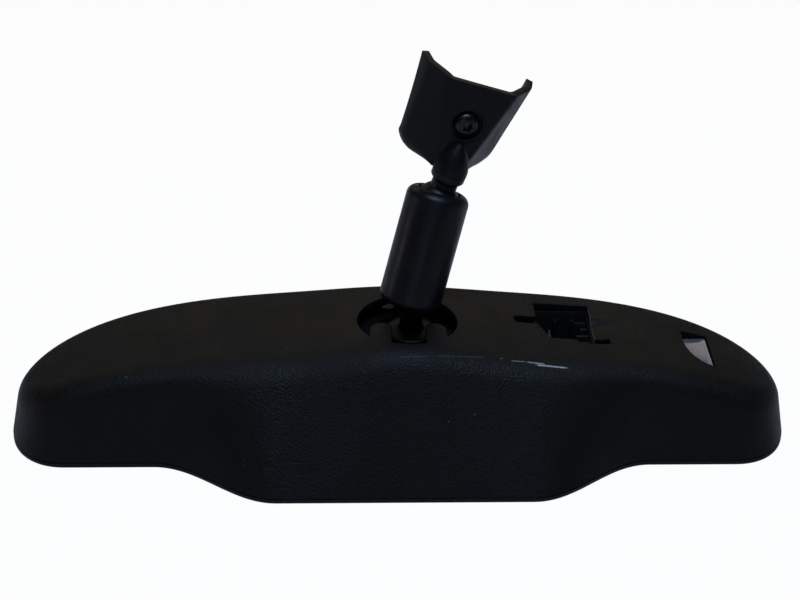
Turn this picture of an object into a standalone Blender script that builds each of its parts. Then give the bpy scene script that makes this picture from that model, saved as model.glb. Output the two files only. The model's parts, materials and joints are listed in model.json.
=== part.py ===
"""Interior rearview mirror with a two-ball stem, lying on its glass.

Frame: metres, +X along the mirror, +Y from the chin edge to the top edge, +Z up
from the glass to the windshield bracket.  The origin is on the resting plane,
below the middle of the plan outline.
"""

import math

import bmesh
import bpy
from mathutils import Matrix, Vector

MM = 0.001
GAP = 0.3 * MM            # running gap between pieces that touch
OVERLAP = 0.5 * MM        # how far united shapes reach into each other

# Plan outline of the head
HALF_LENGTH = 131.6 * MM
TOP_EDGE_Y = 39.0 * MM
END_Y = 4.0 * MM          # the widest point of the rounded ends
WING_EDGE_Y = -19.0 * MM
CHIN_EDGE_Y = -39.0 * MM
CHIN_FLAT_HALF = 42.0 * MM
CHIN_BLEND_LENGTH = 41.0 * MM
END_ROUND = 19.6 * MM     # length of the rounded end below the widest point
END_ROUND_START = HALF_LENGTH - END_ROUND
TOP_LONG_POWER = 3.0
TOP_SHORT_POWER = 2.3
END_ROUND_POWER = 2.15

# Rear housing
HOUSING_WALL = 2.0 * MM
HOUSING_EDGE_Z = 2.1 * MM
DOME_HEIGHT = 36.3 * MM
DOME_REACH = 8.4 * MM     # how far past the end the dome would meet the plane
DOME_HALF_LENGTH = HALF_LENGTH + DOME_REACH
DOME_POWER = 3.0
HUMP_FRONT = 5.3 * MM
HUMP_BACK = 2.2 * MM
HUMP_HALF_WIDTH = 28.0 * MM
WALL_LEAN = 6.0 * MM      # how far the ridge stands inside the outline
RIDGE_BLEND = 7.0 * MM    # length of wall and of back face taken by the rounded ridge
FAR_LEAN = 3.0 * MM       # the same two at the ends and at the top edge, which stand steeper
FAR_BLEND = 3.4 * MM
BACK_CROWN = 0.8 * MM

# Bezel
BEZEL_STRIP = 1.8 * MM
BEZEL_FLOOR = 1.0 * MM
BEZEL_CHAMFER = 0.5 * MM
SKIRT_INSET = 4.4 * MM    # clears the chin wall, which leans in the most
SKIRT_WALL = 1.2 * MM
SKIRT_TOP_Z = 4.4 * MM
GLASS_OVERLAP = 1.5 * MM
POCKET_RIB = 1.2 * MM
POCKET_RIB_TOP_Z = 5.4 * MM
POCKET_RIB_HALF_LENGTH = 70.0 * MM

# Glass pack
GLASS = 1.6 * MM
SEAL_HEIGHT = 0.4 * MM
SEAL_WIDTH = 1.6 * MM
REAR_GLASS_STEP = 1.2 * MM    # the rear glass is this much smaller all round
CLIP_HALF_LENGTH = 62.0 * MM
CLIP_HEIGHT = 0.6 * MM
CLIP_WIDTH = 3.0 * MM
FOAM = 1.2 * MM
FOAM_STEP = 5.0 * MM
CARRIER = 2.0 * MM
CARRIER_STEP = 2.0 * MM

# Circuit board and what it carries
BOARD = 1.6 * MM
BOARD_FROM_END = 23.6 * MM
BOARD_X = (24.0 * MM, HALF_LENGTH - BOARD_FROM_END)
BOARD_Y = (-9.0 * MM, 28.0 * MM)
BOARD_CUT = (22.0 * MM, 15.0 * MM)    # the corner that the rounded end takes off
POST_HEIGHT = 5.0 * MM
POST_RADIUS = 2.6 * MM
POST_INSET = 5.0 * MM
BOARD_SCREW_RADIUS = 1.2 * MM
BOARD_SCREW_HEAD_RADIUS = 2.4 * MM
BOARD_SCREW_HEAD = 1.4 * MM
BOARD_SCREW_LENGTH = 5.0 * MM
PROCESSOR_SIZE = (9.0 * MM, 9.0 * MM, 1.4 * MM)
PROCESSOR_PLACE = (84.0 * MM, -1.0 * MM)
CAPACITOR_RADIUS = 3.2 * MM
CAPACITOR_HEIGHT = 7.0 * MM
CAPACITOR_PLACE = (74.0 * MM, 18.0 * MM)

# Connector socket
SOCKET_CENTRE = (55.3 * MM, 15.3 * MM)
SOCKET_SIZE = (18.6 * MM, 22.4 * MM)     # opening in the housing
SOCKET_CORNER_CUT = (3.6 * MM, 9.0 * MM)
SHROUD_WALL = 1.1 * MM
SHROUD_FLOOR = 2.0 * MM
SHROUD_TOP_Z = 31.2 * MM
LATCH_SLOT_LENGTH = 8.0 * MM
LATCH_SLOT_WIDTH = 4.4 * MM
SLOT_FAR_SIDE = 1.8 * MM   # its far side from the middle of the socket
SIDE_NOTCH = (5.4 * MM, 2.6 * MM)
PIN_COUNT = 6
PIN_WIDTH = 0.9 * MM
PIN_PITCH = 2.5 * MM
PIN_TOP_Z = 28.0 * MM
PIN_ROW_X = 51.6 * MM

# Ambient light sensor window
WINDOW_FROM_END = 30.8 * MM
WINDOW_CENTRE_X = HALF_LENGTH - WINDOW_FROM_END
WINDOW_WIDTH = 9.0 * MM
WINDOW_TOP_Y = 17.2 * MM
WINDOW_SHOULDER_Y = 11.5 * MM
WINDOW_TIP_Y = -1.0 * MM
WINDOW_DEPTH = 5.0 * MM
LENS = 1.6 * MM
SENSOR_SIZE = (4.0 * MM, 5.0 * MM, 2.6 * MM)
SENSOR_TOWER = (6.0 * MM, 8.0 * MM)

# Stem opening and ball stud
OPENING_CENTRE = (1.6 * MM, 9.4 * MM)
OPENING_RADIUS = 16.7 * MM
LOBE_HALF_WIDTH = 3.6 * MM
LOBE_SPACING = 18.4 * MM      # between the middles of the two lobes
LOBE_REACH = 14.0 * MM        # from the near rim to a lobe's tip
PLATE = 2.2 * MM
PLATE_SIZE = (62.0 * MM, 37.0 * MM)
PLATE_CORNER = 5.0 * MM
PLATE_CENTRE_Y = 11.0 * MM
PLATE_Z = 30.0 * MM
PLATE_SCREW_INSET = 4.6 * MM
PLATE_SCREW_RADIUS = 1.5 * MM
PLATE_SCREW_HEAD_RADIUS = 3.0 * MM
PLATE_SCREW_HEAD = 1.8 * MM
PLATE_SCREW_LENGTH = 5.4 * MM
PLATE_SCREW_BITE = 3.6 * MM
BOSS_RADIUS = 3.6 * MM
STUD_SHANK_RADIUS = 3.4 * MM
STUD_NUT_RADIUS = 6.0 * MM
STUD_NUT = 3.6 * MM
STUD_FLANGE_RADIUS = 8.5 * MM
STUD_FLANGE = 3.0 * MM
STUD_NECK_RADIUS = 3.8 * MM

# Stem
LOWER_BALL = (3.0 * MM, 12.0 * MM, 49.5 * MM)
BALL_RADIUS = 7.7 * MM
BALL_SPACING = 31.0 * MM
TUBE_RADIUS = 10.55 * MM
TUBE_WALL = 1.4 * MM
TUBE_END = 4.7 * MM           # from a ball's centre to the tube's rim
TUBE_SHOULDER = 3.2 * MM
MOUTH_RADIUS = 7.2 * MM
MOUTH_CHAMFER = 1.3 * MM
SEAT_RING = (1.9 * MM, -2.0 * MM)   # towards the mouth, away from it
FOLLOWER_START = 2.6 * MM
FOLLOWER_END = 9.4 * MM
FOLLOWER_BORE = 2.4 * MM
SPRING_WIRE = 0.9 * MM
SPRING_RADIUS = 5.6 * MM
SPRING_TURNS = 4.0
STEM_LEAN_RIGHT = math.radians(14.8)
STEM_LEAN_BACK = math.radians(16.8)

# Windshield bracket; its own frame has the ball's centre at the origin,
# X across the channel, Y from the web to the lips and Z along the neck
BRACKET_LEAN_RIGHT = math.radians(19.0)
BRACKET_LEAN_BACK = math.radians(2.4)
BRACKET_TURN = math.radians(6.6)
NECK_RADIUS = 4.6 * MM
NECK_WAIST_RADIUS = 4.4 * MM
NECK_TOP = 12.2 * MM
STUD_PIN_RADIUS = 2.8 * MM
STUD_PIN_TOP = 16.4 * MM
COLLAR_RADIUS = 5.0 * MM
COLLAR_TOP = 18.4 * MM
WEB_START = 16.4 * MM
WEB_END = 41.1 * MM
WEB_HALF_START = 4.6 * MM
WEB_HALF_END = 11.8 * MM
WEB_Y = 0.7 * MM
LIP_START = 11.8 * MM
LIP_END = 45.7 * MM
LIP_HALF_START = 15.4 * MM
LIP_HALF_END = 18.4 * MM
LIP_Y_START = 13.3 * MM
LIP_Y_END = 8.0 * MM
BRACKET_WALL = 2.4 * MM
BRACKET_ROWS = 5
LIP_CORNER = 3.0 * MM         # how far the flank's lower corner is taken back
SIDE_WALL = 3.0 * MM          # length of the wall that each flank bends into
SIDE_WALL_FLARE = math.radians(14.5)
BRACKET_FOOT = (              # rows that gather to the collar: edge, lip, flank and web
    ((-6.6 * MM, 10.8 * MM, 10.9 * MM), (-6.4 * MM, 9.6 * MM, 10.9 * MM),
     (-5.6 * MM, 3.6 * MM, 11.4 * MM), (-3.2 * MM, WEB_Y, 12.0 * MM)),
    ((-12.6 * MM, 14.8 * MM, 11.2 * MM), (-12.0 * MM, 12.6 * MM, 11.2 * MM),
     (-8.0 * MM, 5.4 * MM, 12.8 * MM), (-4.0 * MM, WEB_Y, 14.0 * MM)),
)
SCREW_PLACE = 29.0 * MM
SCREW_BORE_RADIUS = 5.1 * MM
SCREW_HEAD_RADIUS = 4.3 * MM
SCREW_SHANK_RADIUS = 2.0 * MM
SCREW_PAD_RADIUS = 7.0 * MM
SCREW_PAD = 3.2 * MM
SCREW_HEAD_RECESS = 1.8 * MM
SCREW_TIP = 1.2 * MM

# Chin controls
BUTTON_Y = -27.0 * MM
BUTTON_SIZE = (10.6 * MM, 8.4 * MM)
BUTTON_CORNER = 1.6 * MM
BUTTON_RECESS = 0.4 * MM
BUTTON_FLANGE = 0.9 * MM
BUTTON_FLANGE_STEP = 1.0 * MM
BUTTON_TRAVEL = 0.8 * MM
CHANNEL_PLACES = (-28.0 * MM, -13.0 * MM, 2.0 * MM)
DIMMER_PLACE = 19.0 * MM
PIP_RADIUS = 0.7 * MM
PIP_PITCH = 2.2 * MM
PIP_HEIGHT = 0.25 * MM
INDICATOR_PLACE = 30.5 * MM
INDICATOR_RADIUS = 1.4 * MM
GLARE_PLACE = 38.0 * MM
GLARE_RADIUS = 3.2 * MM
CHIN_BOARD_X = (-38.6 * MM, 46.0 * MM)
CHIN_BOARD_Y = (-31.0 * MM, -19.6 * MM)
CHIN_BOARD_Z = 6.8 * MM
SWITCH_SIZE = (6.0 * MM, 6.0 * MM)
PLUNGER_RADIUS = 1.5 * MM
PLUNGER = 0.8 * MM
PIPE_EDGE = 0.3 * MM
GLARE_SENSOR_SIZE = (4.0 * MM, 4.0 * MM, 2.4 * MM)
CHIN_POST_RADIUS = 1.8 * MM

# Mesh fineness
COLUMNS = 20                 # on each half of the head
BACK_ROWS = 4
CHORD_TOLERANCE = 0.1 * MM
STRAIGHT_TOLERANCE = 0.004 * MM
TURN_STEPS = 20
BALL_STEPS = 9

COLOURS = {
    "grained_black": ((0.016, 0.015, 0.013), 0.62, 0.0),
    "satin_black": ((0.012, 0.012, 0.014), 0.42, 0.0),
    "painted_black": ((0.014, 0.014, 0.018), 0.38, 0.0),
    "mirror": ((0.62, 0.66, 0.68), 0.04, 1.0),
    "glass": ((0.55, 0.62, 0.62), 0.05, 0.0),
    "steel": ((0.52, 0.52, 0.54), 0.32, 1.0),
    "copper": ((0.72, 0.42, 0.26), 0.30, 1.0),
    "foam": ((0.05, 0.05, 0.055), 0.95, 0.0),
    "board_green": ((0.02, 0.12, 0.06), 0.50, 0.0),
    "nylon": ((0.70, 0.68, 0.60), 0.45, 0.0),
    "chip": ((0.02, 0.02, 0.02), 0.45, 0.0),
    "lens": ((0.50, 0.50, 0.56), 0.12, 0.0),
    "seal": ((0.09, 0.09, 0.09), 0.60, 0.0),
}


# ---------------------------------------------------------------- scene

def clear_scene():
    for item in list(bpy.data.objects):
        bpy.data.objects.remove(item, do_unlink=True)


def new_collection(name):
    collection = bpy.data.collections.new(name)
    bpy.context.scene.collection.children.link(collection)
    return collection


clear_scene()
PARTS = new_collection("rearview_mirror")
CUTTERS = new_collection("cutters")


def material(name):
    found = bpy.data.materials.get(name)
    if found:
        return found
    colour, roughness, metallic = COLOURS[name]
    made = bpy.data.materials.new(name)
    made.use_nodes = True
    shader = made.node_tree.nodes["Principled BSDF"]
    shader.inputs["Base Color"].default_value = (*colour, 1.0)
    shader.inputs["Roughness"].default_value = roughness
    shader.inputs["Metallic"].default_value = metallic
    return made


def empty(name, matrix):
    frame = bpy.data.objects.new(name, None)
    frame.empty_display_size = 10 * MM
    frame.matrix_world = matrix
    PARTS.objects.link(frame)
    return frame


def add_object(name, mesh, look, parent=None, place=(0, 0, 0)):
    """Link a mesh as a part, or as a hidden cutter where it has no look."""
    made = bpy.data.objects.new(name, mesh)
    if look:
        PARTS.objects.link(made)
        mesh.materials.clear()
        mesh.materials.append(material(look))
    else:
        CUTTERS.objects.link(made)
        made.hide_render = True
        made.display_type = "WIRE"
    if parent:
        made.parent = parent
    made.location = place
    return made


def apply_modifiers(made):
    """Turn an object with its modifiers into plain mesh, and weld it."""
    bpy.context.view_layer.update()
    evaluated = made.evaluated_get(bpy.context.evaluated_depsgraph_get())
    mesh = bpy.data.meshes.new_from_object(evaluated)
    weld(mesh)
    return mesh


def weld(mesh, distance=0.000002):
    work = bmesh.new()
    work.from_mesh(mesh)
    bmesh.ops.remove_doubles(work, verts=work.verts, dist=distance)
    bmesh.ops.recalc_face_normals(work, faces=work.faces)
    work.to_mesh(mesh)
    work.free()


def smooth(made, angle=35):
    made.data.shade_smooth()
    made.data.set_sharp_from_angle(angle=math.radians(angle))


# ---------------------------------------------------------------- shapes

def flat_mesh(name, loops, bottom, top):
    """A flat plate: a filled 2D curve, where each further loop is a hole."""
    curve = bpy.data.curves.new(name, "CURVE")
    curve.dimensions = "2D"
    curve.fill_mode = "BOTH"
    curve.extrude = (top - bottom) / 2
    for loop in loops:
        spline = curve.splines.new("POLY")
        spline.points.add(len(loop) - 1)
        for point, (x, y) in zip(spline.points, loop):
            point.co = (x, y, 0, 1)
        spline.use_cyclic_u = True
    holder = bpy.data.objects.new(name, curve)
    bpy.context.scene.collection.objects.link(holder)
    mesh = apply_modifiers(holder)
    bpy.data.objects.remove(holder)
    bpy.data.curves.remove(curve)
    mesh.transform(Matrix.Translation((0, 0, (bottom + top) / 2)))
    return mesh


def flat_piece(name, loops, bottom, top, look=None, parent=None, place=(0, 0, 0)):
    return add_object(name, flat_mesh(name, loops, bottom, top), look, parent, place)


def circle(radius, centre=(0, 0), count=TURN_STEPS):
    return [
        (centre[0] + radius * math.cos(2 * math.pi * i / count),
         centre[1] + radius * math.sin(2 * math.pi * i / count))
        for i in range(count)
    ]


def rounded_box(centre, size, corner, steps=3):
    """A rectangle with round corners, counter-clockwise."""
    points = []
    for quarter, (sx, sy) in enumerate(((1, 1), (-1, 1), (-1, -1), (1, -1))):
        cx = centre[0] + sx * (size[0] / 2 - corner)
        cy = centre[1] + sy * (size[1] / 2 - corner)
        for step in range(steps + 1):
            angle = math.pi / 2 * (quarter + step / steps)
            points.append((cx + corner * math.cos(angle), cy + corner * math.sin(angle)))
    return points


def turned_piece(name, profile, look=None, parent=None, place=(0, 0, 0), steps=TURN_STEPS):
    """Turn a closed or axis-to-axis profile of (radius, height) round Z."""
    mesh = bpy.data.meshes.new(name)
    points = [(radius, 0, height) for radius, height in profile]
    closed = profile[0][0] > 0
    count = len(points)
    edges = [(i, (i + 1) % count) for i in range(count if closed else count - 1)]
    mesh.from_pydata(points, edges, [])
    holder = bpy.data.objects.new(name, mesh)
    bpy.context.scene.collection.objects.link(holder)
    screw = holder.modifiers.new("turn", "SCREW")
    screw.steps = steps
    screw.render_steps = steps
    screw.use_merge_vertices = True
    screw.merge_threshold = 0.00002
    solid = apply_modifiers(holder)
    bpy.data.objects.remove(holder)
    made = add_object(name, solid, look, parent, place)
    smooth(made)
    return made


def box_piece(name, size, centre, look=None, parent=None):
    work = bmesh.new()
    bmesh.ops.create_cube(work, size=1.0)
    bmesh.ops.scale(work, vec=size, verts=work.verts)
    bmesh.ops.translate(work, vec=centre, verts=work.verts)
    mesh = bpy.data.meshes.new(name)
    work.to_mesh(mesh)
    work.free()
    return add_object(name, mesh, look, parent)


def combine(target, tools, operation):
    """Cut the tools from the target, or unite them with it, and drop them."""
    for tool in tools:
        step = target.modifiers.new(tool.name, "BOOLEAN")
        step.object = tool
        step.operation = operation
        step.solver = "EXACT"
    mesh = apply_modifiers(target)
    look = target.data.materials[:]
    target.modifiers.clear()
    target.data = mesh
    mesh.materials.clear()
    for item in look:
        mesh.materials.append(item)
    for tool in tools:
        bpy.data.objects.remove(tool, do_unlink=True)


def arc_points(centre, radius, start, end, steps):
    """Points of a profile arc, angles in degrees from +X."""
    found = []
    for step in range(steps + 1):
        angle = math.radians(start + (end - start) * step / steps)
        found.append((centre[0] + radius * math.cos(angle),
                      centre[1] + radius * math.sin(angle)))
    return found


# ---------------------------------------------------------------- outline

def top_edge(x):
    reach = max(0.0, 1 - (abs(x) / HALF_LENGTH) ** TOP_LONG_POWER)
    return END_Y + (TOP_EDGE_Y - END_Y) * reach ** (1 / TOP_SHORT_POWER)


def wing_edge(x):
    """The lower edge as it would run without the chin."""
    if abs(x) <= END_ROUND_START:
        return WING_EDGE_Y
    along = (abs(x) - END_ROUND_START) / (HALF_LENGTH - END_ROUND_START)
    reach = max(0.0, 1 - along ** END_ROUND_POWER)
    return END_Y - (END_Y - WING_EDGE_Y) * reach ** (1 / END_ROUND_POWER)


def chin_drop(x):
    """How far the chin stands below the wing edge."""
    along = (abs(x) - CHIN_FLAT_HALF) / CHIN_BLEND_LENGTH
    along = min(1.0, max(0.0, along))
    return (WING_EDGE_Y - CHIN_EDGE_Y) * (1 + math.cos(math.pi * along)) / 2


def column_places(count):
    """Places along X from the middle to the end, even along the top edge."""
    dense = 1200
    xs = [HALF_LENGTH * math.sin(math.pi / 2 * i / dense) for i in range(dense + 1)]
    length = [0.0]
    for before, after in zip(xs, xs[1:]):
        length.append(length[-1] + math.hypot(after - before, top_edge(after) - top_edge(before)))
    places = []
    at = 0
    for step in range(count + 1):
        wanted = length[-1] * (1 - (1 - step / count) ** 1.12)
        while at < dense and length[at] < wanted:
            at += 1
        places.append(xs[at])
    places[-1] = HALF_LENGTH
    return places


def edge_loop(xs, lower):
    """Closed outline, counter-clockwise: the lower edge, then the top edge back."""
    both = [-x for x in reversed(xs)] + xs[1:]
    bottom = [(x, lower(x)) for x in both]
    top = [(x, top_edge(x)) for x in reversed(both[1:-1])]
    return bottom + top


def inset_loop(loop, distance):
    """Move a closed counter-clockwise loop inward along its normals."""
    moved = []
    count = len(loop)
    for i, (x, y) in enumerate(loop):
        before = Vector(loop[i - 1])
        after = Vector(loop[(i + 1) % count])
        along = (after - before).normalized()
        moved.append((x - along.y * distance, y + along.x * distance))
    return moved


def chin_edge(x):
    return wing_edge(x) - chin_drop(x)


def chord_error(loop, start, end):
    """How far the points between two others lie from their chord."""
    first = Vector(loop[start])
    along = (Vector(loop[end % len(loop)]) - first).normalized()
    found = 0.0
    for i in range(start + 1, end):
        offset = Vector(loop[i % len(loop)]) - first
        found = max(found, abs(along.x * offset.y - along.y * offset.x))
    return found


def needed_points(loops):
    """Indices that keep every one of the loops within the chord tolerance."""
    count = len(loops[0])
    kept = [0]
    end = 2
    while end <= count:
        if max(chord_error(loop, kept[-1], end) for loop in loops) > CHORD_TOLERANCE:
            kept.append(end - 1)
        end += 1
    return kept


FINE_PLACES = column_places(90)
HEAD_LOOP = edge_loop(FINE_PLACES, chin_edge)
MIRROR_LOOP = edge_loop(FINE_PLACES, wing_edge)
GLASS_INSET = SKIRT_INSET + SKIRT_WALL + GAP
KEPT_POINTS = needed_points([HEAD_LOOP, MIRROR_LOOP])


def drop_straight(loop):
    """Leave out the points that lie on the line between their neighbours."""
    kept = []
    count = len(loop)
    for i, point in enumerate(loop):
        before = Vector(kept[-1] if kept else loop[i - 1])
        along = (Vector(loop[(i + 1) % count]) - before).normalized()
        offset = Vector(point) - before
        if abs(along.x * offset.y - along.y * offset.x) > STRAIGHT_TOLERANCE:
            kept.append(point)
    return kept


def kept_loop(loop, inset):
    moved = inset_loop(loop, inset)
    return drop_straight([moved[i] for i in KEPT_POINTS])


def head_loop(inset):
    return kept_loop(HEAD_LOOP, inset)


def mirror_loop(inset):
    return kept_loop(MIRROR_LOOP, inset)


# ---------------------------------------------------------------- rear housing

def back_height(x, y):
    """Height of the housing's back face above the resting plane."""
    dome = DOME_HEIGHT * math.sqrt(max(0.0, 1 - (abs(x) / DOME_HALF_LENGTH) ** DOME_POWER))
    front = WING_EDGE_Y + WALL_LEAN
    back = TOP_EDGE_Y - WALL_LEAN
    share = min(1.0, max(0.0, (y - front) / (back - front)))
    hump = HUMP_FRONT + (HUMP_BACK - HUMP_FRONT) * share
    crown = BACK_CROWN * 4 * share * (1 - share)
    return dome + hump * math.exp(-(x / HUMP_HALF_WIDTH) ** 2) + crown


def far_share(y):
    """Nought along the near edge of the head, one from its ends to its top edge."""
    share = min(1.0, max(0.0, (y - WING_EDGE_Y) / (END_Y - WING_EDGE_Y)))
    return share * share * (3 - 2 * share)


def side_points(foot, ridge):
    """From the housing's edge up the wall and round the ridge."""
    blend = RIDGE_BLEND + (FAR_BLEND - RIDGE_BLEND) * far_share(foot[1])
    corner = Vector((ridge[0], ridge[1], back_height(*ridge)))
    base = Vector((foot[0], foot[1], HOUSING_EDGE_Z))
    inward = Vector((ridge[0] - foot[0], ridge[1] - foot[1], 0))
    inward = inward.normalized() if inward.length > 0 else Vector((0, 1, 0))
    wall_start = corner + (base - corner).normalized() * blend
    flat = (ridge[0] + inward.x * blend, ridge[1] + inward.y * blend)
    flat_end = Vector((flat[0], flat[1], back_height(*flat)))
    below = base - Vector((0, 0, 2 * HOUSING_WALL))
    points = [below, base, base.lerp(wall_start, 0.5), wall_start]
    for share in (0.25, 0.5, 0.75):
        low = wall_start.lerp(corner, share)
        high = corner.lerp(flat_end, share)
        points.append(low.lerp(high, share))
    points.append(flat_end)
    return points


def ridge_points(loop):
    """The ridge seen from above, further in where the wall leans more."""
    near, far = inset_loop(loop, WALL_LEAN), inset_loop(loop, FAR_LEAN)
    return [tuple(Vector(low).lerp(Vector(high), far_share(y)))
            for low, high, (_, y) in zip(near, far, loop)]


def housing_shell():
    """Loft columns across the head, from the chin edge over the back to the top edge."""
    xs = column_places(COLUMNS)
    plain = edge_loop(xs, wing_edge)
    ridge = ridge_points(plain)
    count = len(plain)
    last = 2 * COLUMNS
    work = bmesh.new()
    columns = []
    for i in range(last + 1):
        low, high = plain[i], plain[(count - i) % count]
        foot = (low[0], low[1] - chin_drop(low[0]))
        if 0 < i < last:
            front = side_points(foot, ridge[i])
            back = side_points(high, ridge[count - i])
            start, end = front[-1], back[-1]
            middle = []
            for row in range(1, BACK_ROWS):
                x = start.x + (end.x - start.x) * row / BACK_ROWS
                y = start.y + (end.y - start.y) * row / BACK_ROWS
                middle.append(Vector((x, y, back_height(x, y))))
            points = front + middle + back[::-1]
        else:
            side = side_points(foot, ridge[i])
            points = side + [side[-1]] * (BACK_ROWS - 1) + side[::-1]
        columns.append([work.verts.new(point) for point in points])
    for left, right in zip(columns, columns[1:]):
        for k in range(len(left) - 1):
            work.faces.new((left[k], right[k], right[k + 1], left[k + 1]))
    bmesh.ops.remove_doubles(work, verts=work.verts, dist=0.00002)
    bmesh.ops.dissolve_degenerate(work, edges=work.edges, dist=0.00002)
    bmesh.ops.recalc_face_normals(work, faces=work.faces)
    mesh = bpy.data.meshes.new("rear_housing")
    work.to_mesh(mesh)
    work.free()
    made = add_object("rear_housing", mesh, "grained_black")
    shell = made.modifiers.new("wall", "SOLIDIFY")
    shell.thickness = HOUSING_WALL
    shell.offset = -1
    return made


def capsule(centre, half_width, start_y, end_y, steps=10):
    """An upright strip with a round far end."""
    x = centre
    points = [(x - half_width, start_y), (x + half_width, start_y)]
    tip = end_y - half_width
    for step in range(steps + 1):
        angle = math.pi * step / steps
        points.append((x + half_width * math.cos(angle), tip + half_width * math.sin(angle)))
    return points


def opening_loop():
    """The round stem opening with two lobes of skin that reach in from the near rim."""
    cx, cy = OPENING_CENTRE
    near = cy - OPENING_RADIUS
    points = []
    count = 44
    for i in range(count):
        angle = math.radians(-90) + 2 * math.pi * i / count
        x = cx + OPENING_RADIUS * math.cos(angle)
        y = cy + OPENING_RADIUS * math.sin(angle)
        covered = any(
            abs(x - (cx + side * LOBE_SPACING / 2)) < LOBE_HALF_WIDTH + 0.4 * MM
            for side in (-1, 1)
        )
        if y < cy and covered:
            continue
        points.append((angle, (x, y)))
    for side in (-1, 1):
        middle = cx + side * LOBE_SPACING / 2
        strip = capsule(middle, LOBE_HALF_WIDTH, 0, near + LOBE_REACH)[2:]
        feet = []
        for edge in (middle + LOBE_HALF_WIDTH, middle - LOBE_HALF_WIDTH):
            down = math.sqrt(OPENING_RADIUS ** 2 - (edge - cx) ** 2)
            feet.append((edge, cy - down))
        path = [feet[1]] + strip[::-1] + [feet[0]]
        at = math.atan2(path[0][1] - cy, path[0][0] - cx)
        for index, point in enumerate(path):
            points.append((at + index * 1e-6, point))
    start = -math.pi / 2
    points.sort(key=lambda item: (item[0] - start) % (2 * math.pi))
    return [point for _, point in points]


def socket_loop(grow=0.0):
    """The connector opening: a rectangle with one corner cut off."""
    half_x = SOCKET_SIZE[0] / 2 + grow
    half_y = SOCKET_SIZE[1] / 2 + grow
    cx, cy = SOCKET_CENTRE
    cut_x, cut_y = SOCKET_CORNER_CUT
    return [
        (cx - half_x, cy - half_y + cut_y),
        (cx - half_x + cut_x, cy - half_y),
        (cx + half_x, cy - half_y),
        (cx + half_x, cy + half_y),
        (cx - half_x, cy + half_y),
    ]


def window_loop(inset=0.0, steps=8):
    """The fin-shaped sensor window: square at the top, one side curved to a low tip."""
    left = WINDOW_CENTRE_X - WINDOW_WIDTH / 2 + inset
    right = WINDOW_CENTRE_X + WINDOW_WIDTH / 2 - inset
    top = WINDOW_TOP_Y - inset
    tip = WINDOW_TIP_Y + inset
    shoulder = WINDOW_SHOULDER_Y
    points = [(right, tip), (right, top), (left, top), (left, shoulder)]
    for step in range(1, steps):
        angle = math.pi / 2 * step / steps
        points.append((right - (right - left) * math.cos(angle),
                       shoulder - (shoulder - tip) * math.sin(angle)))
    return points


def plate_screw_places():
    half_x = PLATE_SIZE[0] / 2 - PLATE_SCREW_INSET
    half_y = PLATE_SIZE[1] / 2 - PLATE_SCREW_INSET
    middle = LOWER_BALL[0]
    return [
        (middle + sx * half_x, PLATE_CENTRE_Y + sy * half_y)
        for sx in (-1, 1) for sy in (-1, 1)
    ]


PLATE_TOP_Z = PLATE_Z + PLATE
WINDOW_FLOOR_Z = back_height(WINDOW_CENTRE_X, WINDOW_SHOULDER_Y) - WINDOW_DEPTH
HIGH_Z = 60 * MM


def make_housing():
    housing = housing_shell()
    additions = []
    for index, place in enumerate(plate_screw_places()):
        top = back_height(*place) - HOUSING_WALL + OVERLAP * 2
        additions.append(flat_piece(f"boss_{index}", [circle(BOSS_RADIUS, place, 16)],
                                    PLATE_TOP_Z + GAP, top))
    rim = window_loop(-1.4 * MM)
    top = back_height(WINDOW_CENTRE_X + WINDOW_WIDTH / 2 + 1.4 * MM, WINDOW_TOP_Y) - OVERLAP
    additions.append(flat_piece("window_well", [rim], WINDOW_FLOOR_Z, top))
    combine(housing, additions, "UNION")
    combine(housing, [box_piece("rim_cut", (3 * HALF_LENGTH, 4 * TOP_EDGE_Y, 20 * MM),
                                (0, 0, HOUSING_EDGE_Z - 10 * MM))], "DIFFERENCE")
    cx, cy = SOCKET_CENTRE
    slot_start = cx - SOCKET_SIZE[0] / 2 - LATCH_SLOT_LENGTH
    slot_end = cx - SOCKET_SIZE[0] / 2 + OVERLAP
    slot_middle = ((slot_start + slot_end) / 2, cy + SLOT_FAR_SIDE - LATCH_SLOT_WIDTH / 2)
    notch_size = (SIDE_NOTCH[0] + OVERLAP, SIDE_NOTCH[1])
    notch_middle = (cx + SOCKET_SIZE[0] / 2 + SIDE_NOTCH[0] / 2 - OVERLAP / 2,
                    cy - SOCKET_SIZE[1] / 2 + SIDE_NOTCH[1] / 2 + 0.1 * MM)
    low = PLATE_TOP_Z - 4 * MM
    cuts = [
        flat_piece("stem_cut", [opening_loop()], PLATE_TOP_Z, HIGH_Z),
        flat_piece("socket_cut", [socket_loop()], low, HIGH_Z),
        flat_piece("slot_cut", [rounded_box(slot_middle, (slot_end - slot_start, LATCH_SLOT_WIDTH),
                                            0.9 * MM)], low, HIGH_Z),
        flat_piece("notch_cut", [rounded_box(notch_middle, notch_size, 0.4 * MM, 2)], low, HIGH_Z),
        flat_piece("window_cut", [window_loop()], WINDOW_FLOOR_Z + LENS + 2 * GAP, HIGH_Z),
        flat_piece("lens_bore", [window_loop(1.2 * MM)], WINDOW_FLOOR_Z - OVERLAP, HIGH_Z),
    ]
    for index, place in enumerate(plate_screw_places()):
        cuts.append(flat_piece(f"boss_bore_{index}",
                               [circle(PLATE_SCREW_RADIUS + GAP, place, 12)],
                               PLATE_Z, PLATE_TOP_Z + GAP + PLATE_SCREW_BITE))
    combine(housing, cuts, "DIFFERENCE")
    smooth(housing, 40)


# ---------------------------------------------------------------- bezel and glass

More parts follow.
